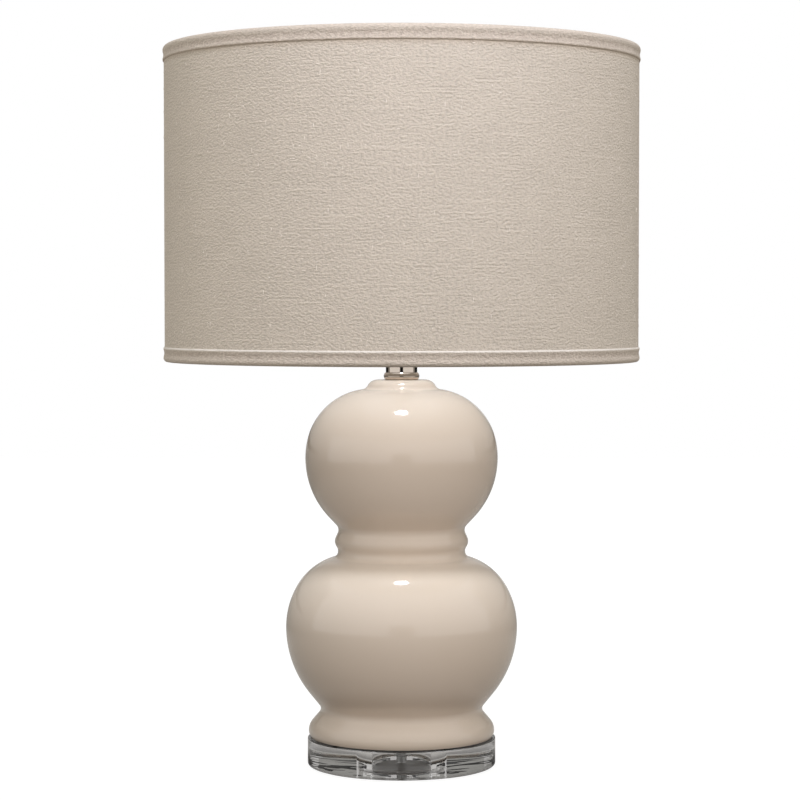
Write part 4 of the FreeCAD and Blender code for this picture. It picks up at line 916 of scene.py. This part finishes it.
# %% Switch
turned("switch_stem", band(0, 1.8, 24), ZINC, seat=0.0, segments=48,
       place=((0, -9.0, switch_height), 90, "X"))
knob = [(1.88, 0), (5.5, 0, 0.4), (5.5, 5, 0), (5.5, 10, 0), (5.5, 15, 1.2)]
knob += [(0, 15), (0, 12.6), (1.88, 12.6)]
turned("switch_knob", knob, BLACK, steps=5, seat=0.0, segments=192,
       shape=flutes(5.5, 12, 1.0, 6.0), place=((0, -20.5, switch_height), 90, "X"))
count_pieces("with the switch:")


# %% [markdown]
# ## The bulb
#
# A clear pear-shaped glass on a rolled screw cap. Inside it a glass stem holds two leads, and a
# coiled filament hangs between their tips. The glass could be one skin, but light bends at both
# of its faces, so its outline runs up the outer face and back down the inner one.

# %% Glass and stem
bulb_seat = foot("bulb_tip")


def envelope(skin):
    """The glass outline at one depth inside its outer face, from the collar up to the top."""
    reach, centre = 70.0, 53.2
    drop = sqrt(reach ** 2 - centre ** 2)
    lean = degrees(atan2(drop, centre))
    neck = arc(centre, 80 - drop, 40 + skin, 180, 180 - lean, 2)
    return [(13.2 - skin, 24.6, 0)] + neck + arc(0, 80, 30 - skin, -lean, 90, 3)


glass = envelope(0.0) + envelope(0.8)[::-1]
turned("bulb_glass", glass, GLASS, 0, seat=bulb_seat, segments=128, sharp=50)
mount = [(0, 11), (3, 11), (12.1, 24.6, 1), (4, 28.6, 6), (4, 54.6, 1.2), (0, 54.6)]
turned("bulb_stem", mount, GLASS, steps=6, seat=bulb_seat, segments=64)
count_pieces("with the bulb's glass:")

# %% Leads and filament
lead_top, turns, coil_radius = 54.6 + 32.0, 34, 0.36
for side, sign in SIDES:
    path = [(3.2, 55.0), (6.0, 55.0), (6.7, 55.3), (7, 56.0), (7, lead_top)]
    points = [(sign * x, 0, z + bulb_seat) for x, z in path]
    stand_for(sweep("lead", points, 0.38, ZINC, 12), ZINC, "bulb_lead_" + side)
coil_angles = np.linspace(0, 2 * pi * turns, turns * 12)
coil_height = bulb_seat + lead_top + 0.5
coil = [(x, coil_radius * cos(a), coil_height + coil_radius * sin(a))
        for x, a in zip(np.linspace(-7.2, 7.2, len(coil_angles)), coil_angles)]
stand_for(sweep("coil", coil, 0.11, TUNGSTEN, 6), TUNGSTEN, "bulb_filament")
print("filament:", turns, "turns")

# %% Screw cap, insulator and tip
outside = [(9.5, 4.6), (12.4, 6.2)] + wall(12.4, 6.4, 23.6, 0.45) + [(13.65, 24.2), (13.65, 27)]
inside = [(13.25, 27), (13.25, 24.2)] + wall(12.0, 23.6, 6.4, 0.45) + [(12.0, 6.2), (9.1, 4.6)]
turned("bulb_cap", outside + inside, ALUMINIUM, 0, seat=bulb_seat,
       shape=rolled(0.5, 3.5, 6.2, 23.7, wider_than=11.8))
insulator = [(0, 1.6), (4.2, 1.6), (9.1, 4.6), (9.1, 5.0), (4.2, 11), (0, 11)]
turned("bulb_insulator", insulator, BLACK, seat=bulb_seat, segments=64)
tip = [(0, 0), (2.1, 0, 0.8), (4.2, 0.8, 0.5), (4.2, 1.6), (0, 1.6)]
turned("bulb_tip", tip, SOLDER, seat=bulb_seat, segments=48)
count_pieces("with the whole bulb:")


# %% [markdown]
# ## The shade
#
# Linen is glued round a stiff backing and folded over a wire ring at each edge. The hems are
# hand made, so they swell over the wire, sink behind it and lie a little unevenly. Glued cloth
# can't fall, so nothing is simulated: the lathe turns each layer, with a slow wave in the hems.

# %% Linen, backing and rings
shade_seat, TALL = foot("bottom_hem"), 283.4
DRUM, CLOTH = 214.0, 0.7  # the linen's inner radius and its thickness
linen_foot, linen_tall = foot("shade_linen"), TALL - 2 * 2.8
linen_section = band(DRUM, DRUM + CLOTH, linen_tall)
linen = turned("shade_linen", linen_section, LINEN, 0, segments=512, flat=True)
turned("shade_backing", band(213.4, 213.8, TALL - 3.2), STYRENE, 0, segments=512)
RING, RING_WIRE = 211.7, 1.5
for node in ("top_ring", "bottom_ring"):
    height = foot(node) + RING_WIRE
    circle = [(x, y, height) for x, y, _ in arc(0, 0, RING, 0, 360, 360 / 256)[:-1]]
    stand_for(sweep(node, circle, RING_WIRE, SATIN, 16, closed=True), SATIN, node)
print("linen:", len(linen.data.polygons), "faces")


# %% Hems
def uneven(seed, size):
    """A smooth random wave round the rim, the same at every run."""
    spread = np.random.default_rng(seed)
    terms = [(int(n), spread.uniform(0, 2 * pi), spread.uniform(0.3, 1))
             for n in spread.integers(9, 90, 14)]
    total = sum(weight for _, _, weight in terms)
    return lambda a: size * sum(w * np.sin(n * a + phase) for n, phase, w in terms) / total


def hem_section():
    """The section of a hem, as radius and depth in from the edge of the shade."""
    outer = [(214.9, 13.5), (215.35, 13.3), (215.7, 12.8), (215.88, 12.1), (215.85, 11.3)]
    outer += [(215.5, 10.2), (215.2, 8.8), (215.15, 7.4), (215.45, 5.8), (215.75, 4.8)]
    roll, inner_roll = arc(212.4, 3.5, 3.5, 0, -180, 10), arc(212.4, 3.5, 2.5, 180, 360, 15)
    return outer + roll + [(208.9, 6.0), (209.9, 6.0)] + inner_roll


def hem(node, up, seed, cuts=()):
    wave, sway = uneven(seed, 0.35), uneven(seed + 1, 0.5)
    section = hem_section()
    if up:
        section = [(point[0], TALL - point[1]) for point in section][::-1]

    def lie(r, z, a):
        depth = TALL - z if up else z
        loose = np.clip((depth - 6) / 4, 0, 1) * np.clip((13.6 - depth) / 1.2, 0, 1)
        r = np.where(r > 215.0, np.minimum(r + wave(a) * 0.6 * loose - 0.12, 215.9), r)
        return r, np.where(depth > 12, z + (0.4 if up else -0.4) * sway(a), z)
    piece = lathe(node, section, shade_seat, 512, lie, flat=True, sharp=50)
    return stand_for(cut(piece, *cuts), HEM, node)


ARM_ANGLES = (90, 210, 330)
arm_slots = [move(block((9.5, 4.4, 6.0), (208.75, 0, 0)), (0, 0, shade_seat + TALL - 5.2), angle)
             for angle in ARM_ANGLES]
top_hem = hem("top_hem", True, 4, arm_slots)
bottom_hem = hem("bottom_hem", False, 8)
print("hem:", len(top_hem.data.polygons), "faces")


# %% [markdown]
# Slubs are the short thick places in linen yarn. At this size each one is a thin raised grain
# that lies along the warp or the weft. Bump alone would be flat at the drum's sides, so a node
# group scatters real grains over the cloth.

# %% Slubs
def slub_group():
    tree, given = new_group("Slubs", Density="Float", Shortest="Float", Longest="Float",
                            Thickness="Float", Seed="Int", Material="Material")

    def new(kind, inputs=(), **settings):
        return add_node(tree, kind, inputs, **settings).outputs

    points = new("GeometryNodeDistributePointsOnFaces", {
        "Mesh": given["Geometry"], "Density": given["Density"], "Seed": given["Seed"]})
    grain = new("GeometryNodeMeshUVSphere", {"Segments": 6, "Rings": 5, "Radius": 1.0})
    parts = new("ShaderNodeSeparateXYZ", {0: new("GeometryNodeInputPosition")[0]})
    angle = new("ShaderNodeMath", {0: parts["Y"], 1: parts["X"]}, operation="ARCTAN2")
    spin = new("ShaderNodeCombineXYZ", {"Z": angle[0]})
    turn = new("FunctionNodeEulerToRotation", {0: spin[0]})
    length = new("FunctionNodeRandomValue", {
        2: given["Shortest"], 3: given["Longest"], "Seed": 3}, data_type="FLOAT")[1]
    way = new("FunctionNodeRandomValue", {"Probability": 0.35, "Seed": 5}, data_type="BOOLEAN")
    thick = given["Thickness"]
    weft = new("ShaderNodeCombineXYZ", {"X": thick, "Y": length, "Z": thick})
    warp = new("ShaderNodeCombineXYZ", {"X": thick, "Y": thick, "Z": length})
    size = new("GeometryNodeSwitch", {
        "Switch": way[3], "False": weft[0], "True": warp[0]}, input_type="VECTOR")
    place = new("GeometryNodeInstanceOnPoints", {
        "Points": points[0], "Instance": grain["Mesh"], "Rotation": turn[0], "Scale": size[0]})
    return give_out(tree, place[0], given["Material"])


SKIN, BARE_EDGE = 214.66, 12  # the slubs lie just in the linen's face, and clear of the hems
# The slubs' pale colour is partly the yarn's own and partly a painted glint of its fibres.
PALE_SLUB_AND_GLINT = board("slub_yarn_and_glint", (0.90, 0.84, 0.78), 0.05)
count = 256
around = np.arange(count) * 2 * pi / count
rims = [np.stack([SKIN * np.cos(around), SKIN * np.sin(around), np.full(count, z)], -1)
        for z in (linen_foot + BARE_EDGE, linen_foot + linen_tall - BARE_EDGE)]
quads = [(k, (k + 1) % count, count + (k + 1) % count, count + k) for k in range(count)]
slubs = mesh_object("linen_slubs", np.concatenate(rims), quads)
run_group(slubs, slub_group(), Density=4200.0, Shortest=0.0005, Longest=0.0024,
          Thickness=0.00032, Seed=11, Material=PALE_SLUB_AND_GLINT)
slubs.data.shade_smooth()
paint(slubs, PALE_SLUB_AND_GLINT)
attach(slubs, "shade")
PIECES["rest"].append(slubs)
print("slubs:", len(slubs.data.polygons), "faces")

# %% Spider
ARM_WIRE, ARM_END, SPIDER_BEND = 1.6, 210.1, 12.0
RAMP = (20.0, 42.0)  # an arm's slope runs from one distance to the other
low, high = -9.2, -4.4  # the arm's two levels, from the shade's top edge
slope = atan((high - low) / (RAMP[1] - RAMP[0]))
reach = SPIDER_BEND * tan(slope / 2)


def arm_line(angle):
    """One arm: level on the washer, up a slope, then level out to the ring."""
    lean = degrees(slope)
    line = [(9.0, low, 0)]
    line += arc(RAMP[0] - reach, low + SPIDER_BEND, SPIDER_BEND, -90, lean - 90, 3.1)
    line += arc(RAMP[1] + reach, high - SPIDER_BEND, SPIDER_BEND, 90 + lean, 90, 3.1)
    x, y = cos(radians(angle)), sin(radians(angle))
    return [(r * x, r * y, z + shade_seat + TALL) for r, z, _ in line + [(ARM_END, high, 0)]]


for index, angle in enumerate(ARM_ANGLES):
    arm = sweep("arm", arm_line(angle), ARM_WIRE, SATIN, 20)
    stand_for(arm, SATIN, "spider", f"_arm_{index}")
turned("spider", band(3.475, 14, 1.6), SATIN, 0.35, part="_washer")
count_pieces("with the shade and the spider:")


# %% [markdown]
# ## The studio
#
# White floor and background. What the camera sees and what lights the lamp are set apart, so
# the white around it doesn't wash its colours out. Glaze and metal mirror what stands round
# them, and the clear block bends it, so cards that only mirrors and glass see stand for that.

# %% Floor and background
def shader(tree, kind, color, **more):
    """The output of a plain shader of one colour."""
    return add_node(tree, "ShaderNode" + kind, {"Color": (*color, 1), **more}).outputs[0]


def surface(tree, shown):
    end = tree.nodes.get("Material Output") or tree.nodes["World Output"]
    tree.links.new(shown, end.inputs["Surface"])


def mixed(tree, factor, first, second):
    """Two shaders blended by a value, as what the tree shows."""
    inputs = {"Fac": factor.socket, 1: first, 2: second}
    surface(tree, add_node(tree, "ShaderNodeMixShader", inputs).outputs[0])


def seen_by(tree, seen, unseen):
    """One shader for camera, mirror and glass rays, and another for what lights the object."""
    path = add_node(tree, "ShaderNodeLightPath").outputs
    camera, mirror, glass = (Value(tree, path[f"Is {kind} Ray"])
                             for kind in ("Camera", "Glossy", "Transmission"))
    mixed(tree, camera.join("MAXIMUM", mirror).join("MAXIMUM", glass), unseen, seen)


def panel(name, size, middle, aim=None):
    """A flat staged panel that faces a point, with the node tree of its own material."""
    w, h = size[0] / 2, size[1] / 2
    obj = mesh_object(name, [(-w, -h, 0), (w, -h, 0), (w, h, 0), (-w, h, 0)], [(0, 1, 2, 3)])
    if aim is not None:
        facing = (Vector(aim) - Vector(middle)).to_track_quat("Z", "Y")
        obj.data.transform(facing.to_matrix().to_4x4())
    move(obj, middle)
    material = bpy.data.materials.new(name)
    material.use_nodes = True
    obj.data.materials.append(material)
    return obj, material.node_tree


_, tree = panel("floor", (9000, 9000), (0, 0, -0.2))
white = shader(tree, "Emission", (1, 1, 1), Strength=0.91)
pale = shader(tree, "BsdfDiffuse", (0.30, 0.30, 0.30))
both = add_node(tree, "ShaderNodeAddShader", {0: white, 1: pale}).outputs[0]
seen_by(tree, both, shader(tree, "BsdfDiffuse", (0.31, 0.265, 0.23)))

world = bpy.data.worlds.new("studio")
world.use_nodes = True
bpy.context.scene.world = world
tree = world.node_tree
backdrop = tree.nodes["Background"]
backdrop.inputs["Color"].default_value = (1, 1, 1, 1)
seen_by(tree, backdrop.outputs[0], shader(tree, "Background", (0.50, 0.485, 0.445)))
print("floor and background are ready")


# %% Cards that only mirrors and glass see
def hide_card(card):
    card.visible_camera = card.visible_diffuse = card.visible_shadow = False
    return card


def mirror_card(name, size, middle, shade):
    """A plain card that faces the lamp's axis at its own height."""
    card, tree = panel(name, size, middle, (0, 0, middle[2]))
    surface(tree, shader(tree, "Emission", shade))
    return hide_card(card)


GREY, PALE_GREY, DARK = (0.27, 0.265, 0.25), (0.52, 0.51, 0.50), (0.012, 0.012, 0.012)
for side, sign in SIDES:
    mirror_card("panel_" + side, (3200, 2600), (sign * 1650, 1500, 900), GREY)
    mirror_card("strip_" + side, (1500, 80), (sign * 900, 1150, 335), DARK)
    glow = mirror_card("glow_" + side, (1800, 620), (sign * 1900, 600, 650), (0.55, 0.54, 0.525))
    glow.visible_glossy = False
mirror_card("panel_behind", (1700, 2600), (0, 2500, 900), PALE_GREY)
mirror_card("camera_stand", (1100, 700), (0, -2700, 400), DARK)

# The ground that the block shows: a painted shadow, dark under the lamp, then brightest in a ring
# round it.
ground, tree = panel("ground", (8800, 8800), (0, 0, -0.1))
hide_card(ground)
near = shader(tree, "Emission", (0.10, 0.095, 0.09))
far = shader(tree, "Emission", (0.50, 0.485, 0.46))
point = add_node(tree, "ShaderNodeTexCoord").outputs["Object"]
length = add_node(tree, "ShaderNodeVectorMath", {0: point}, operation="LENGTH")
away = Value(tree, length.outputs["Value"])
mixed(tree, away.above(0.088, 0.14) * (1 - away.above(0.6, 1.2) * 0.5), near, far)
print(len(bpy.data.materials), "materials with the studio's own")


# %% Lights
def lamp_group(name, objects):
    """A collection that lights can be linked to."""
    collection = bpy.data.collections.new(name)
    for obj in objects:
        collection.objects.link(obj)
    return collection


def area_light(name, size, place, aim, level, lit, color, spread=180, shape="SQUARE"):
    """A light whose level is that of a white wall that faces it at the aimed point. It lights
    one group of pieces, and nothing else stops it."""
    data = bpy.data.lights.new(name, "AREA")
    data.shape, data.size, data.color = shape, size, color
    line = Vector(aim) - Vector(place)
    half_beam = radians(spread / 2)
    narrowed = 1 - half_beam / tan(half_beam)
    data.spread = 2 * half_beam
    data.energy = level * (pi * line.length) ** 2 * narrowed
    lamp = add_object(name, data)
    lamp.location = place
    lamp.rotation_euler = line.to_track_quat("-Z", "Y").to_euler()
    lamp.visible_camera = lamp.visible_glossy = lamp.visible_transmission = False
    lamp.light_linking.receiver_collection = lamp.light_linking.blocker_collection = lit
    return lamp


print("light helpers are ready")


# %% [markdown]
# The body is lit as if the shade weren't there, so its lights leave the shade out, both as
# something they light and as something that stops them. One round light alone shows in the
# glaze, as the small bright spot on each shoulder. The light behind the lamp is there for the
# views from behind.

# %% Lights for the body and for the shade
body_group = lamp_group("body_lights_reach", PIECES["body"])
rest_group = lamp_group("shade_lights_reach", PIECES["rest"])
whole_lamp = lamp_group("back_light_reaches", PIECES["body"] + PIECES["rest"])
COOL, WARM = (0.93, 0.965, 1.0), (1.0, 0.955, 0.875)
ROSE, LILAC = (1.0, 0.88, 0.80), (0.93, 0.915, 1.0)
BODY, SHADE = (0, 0, 0.28), (0, 0, 0.5)
spot = area_light("above_body", 0.38, (0.0, -0.30, 2.45), BODY, 0.47, body_group, COOL,
                  shape="DISK")
spot.visible_glossy = spot.visible_transmission = True
area_light("soft_body", 1.4, (0.1, -1.3, 2.0), BODY, 0.12, body_group, COOL)
area_light("front_body", 0.5, (0.5, -2.3, 0.9), (0, 0, 0.3), 0.32, body_group, ROSE, spread=40)
area_light("above_shade", 0.30, (0.14, -0.88, 1.35), (0, -0.2, 0.6), 0.76, rest_group, LILAC)
area_light("right_of_shade", 1.4, (2.3, -1.5, 0.8), SHADE, 0.22, rest_group, WARM)
area_light("left_of_shade", 1.4, (-2.3, -1.5, 0.8), SHADE, 0.22, rest_group, WARM)
area_light("behind_lamp", 0.8, (0.0, 2.8, 1.0), (0, 0, 0.35), 0.30, whole_lamp, WARM)
print(len(bpy.data.lights), "lights")


# %% Camera
LENS, SENSOR, DIP = 113.9, 36.0, 0.03876
camera_data = bpy.data.cameras.new("camera")
camera_data.lens, camera_data.sensor_width = LENS, SENSOR
camera_data.clip_start = 0.01
camera = add_object("camera", camera_data)
camera.location = (-0.0014, -2.3042, 0.42262)
camera.rotation_euler = (pi / 2 - DIP, 0, 0)
bpy.context.scene.camera = camera
bpy.context.scene.view_settings.view_transform = "Standard"
print("camera:", LENS, "mm, looks", round(degrees(DIP), 2), "degrees down")
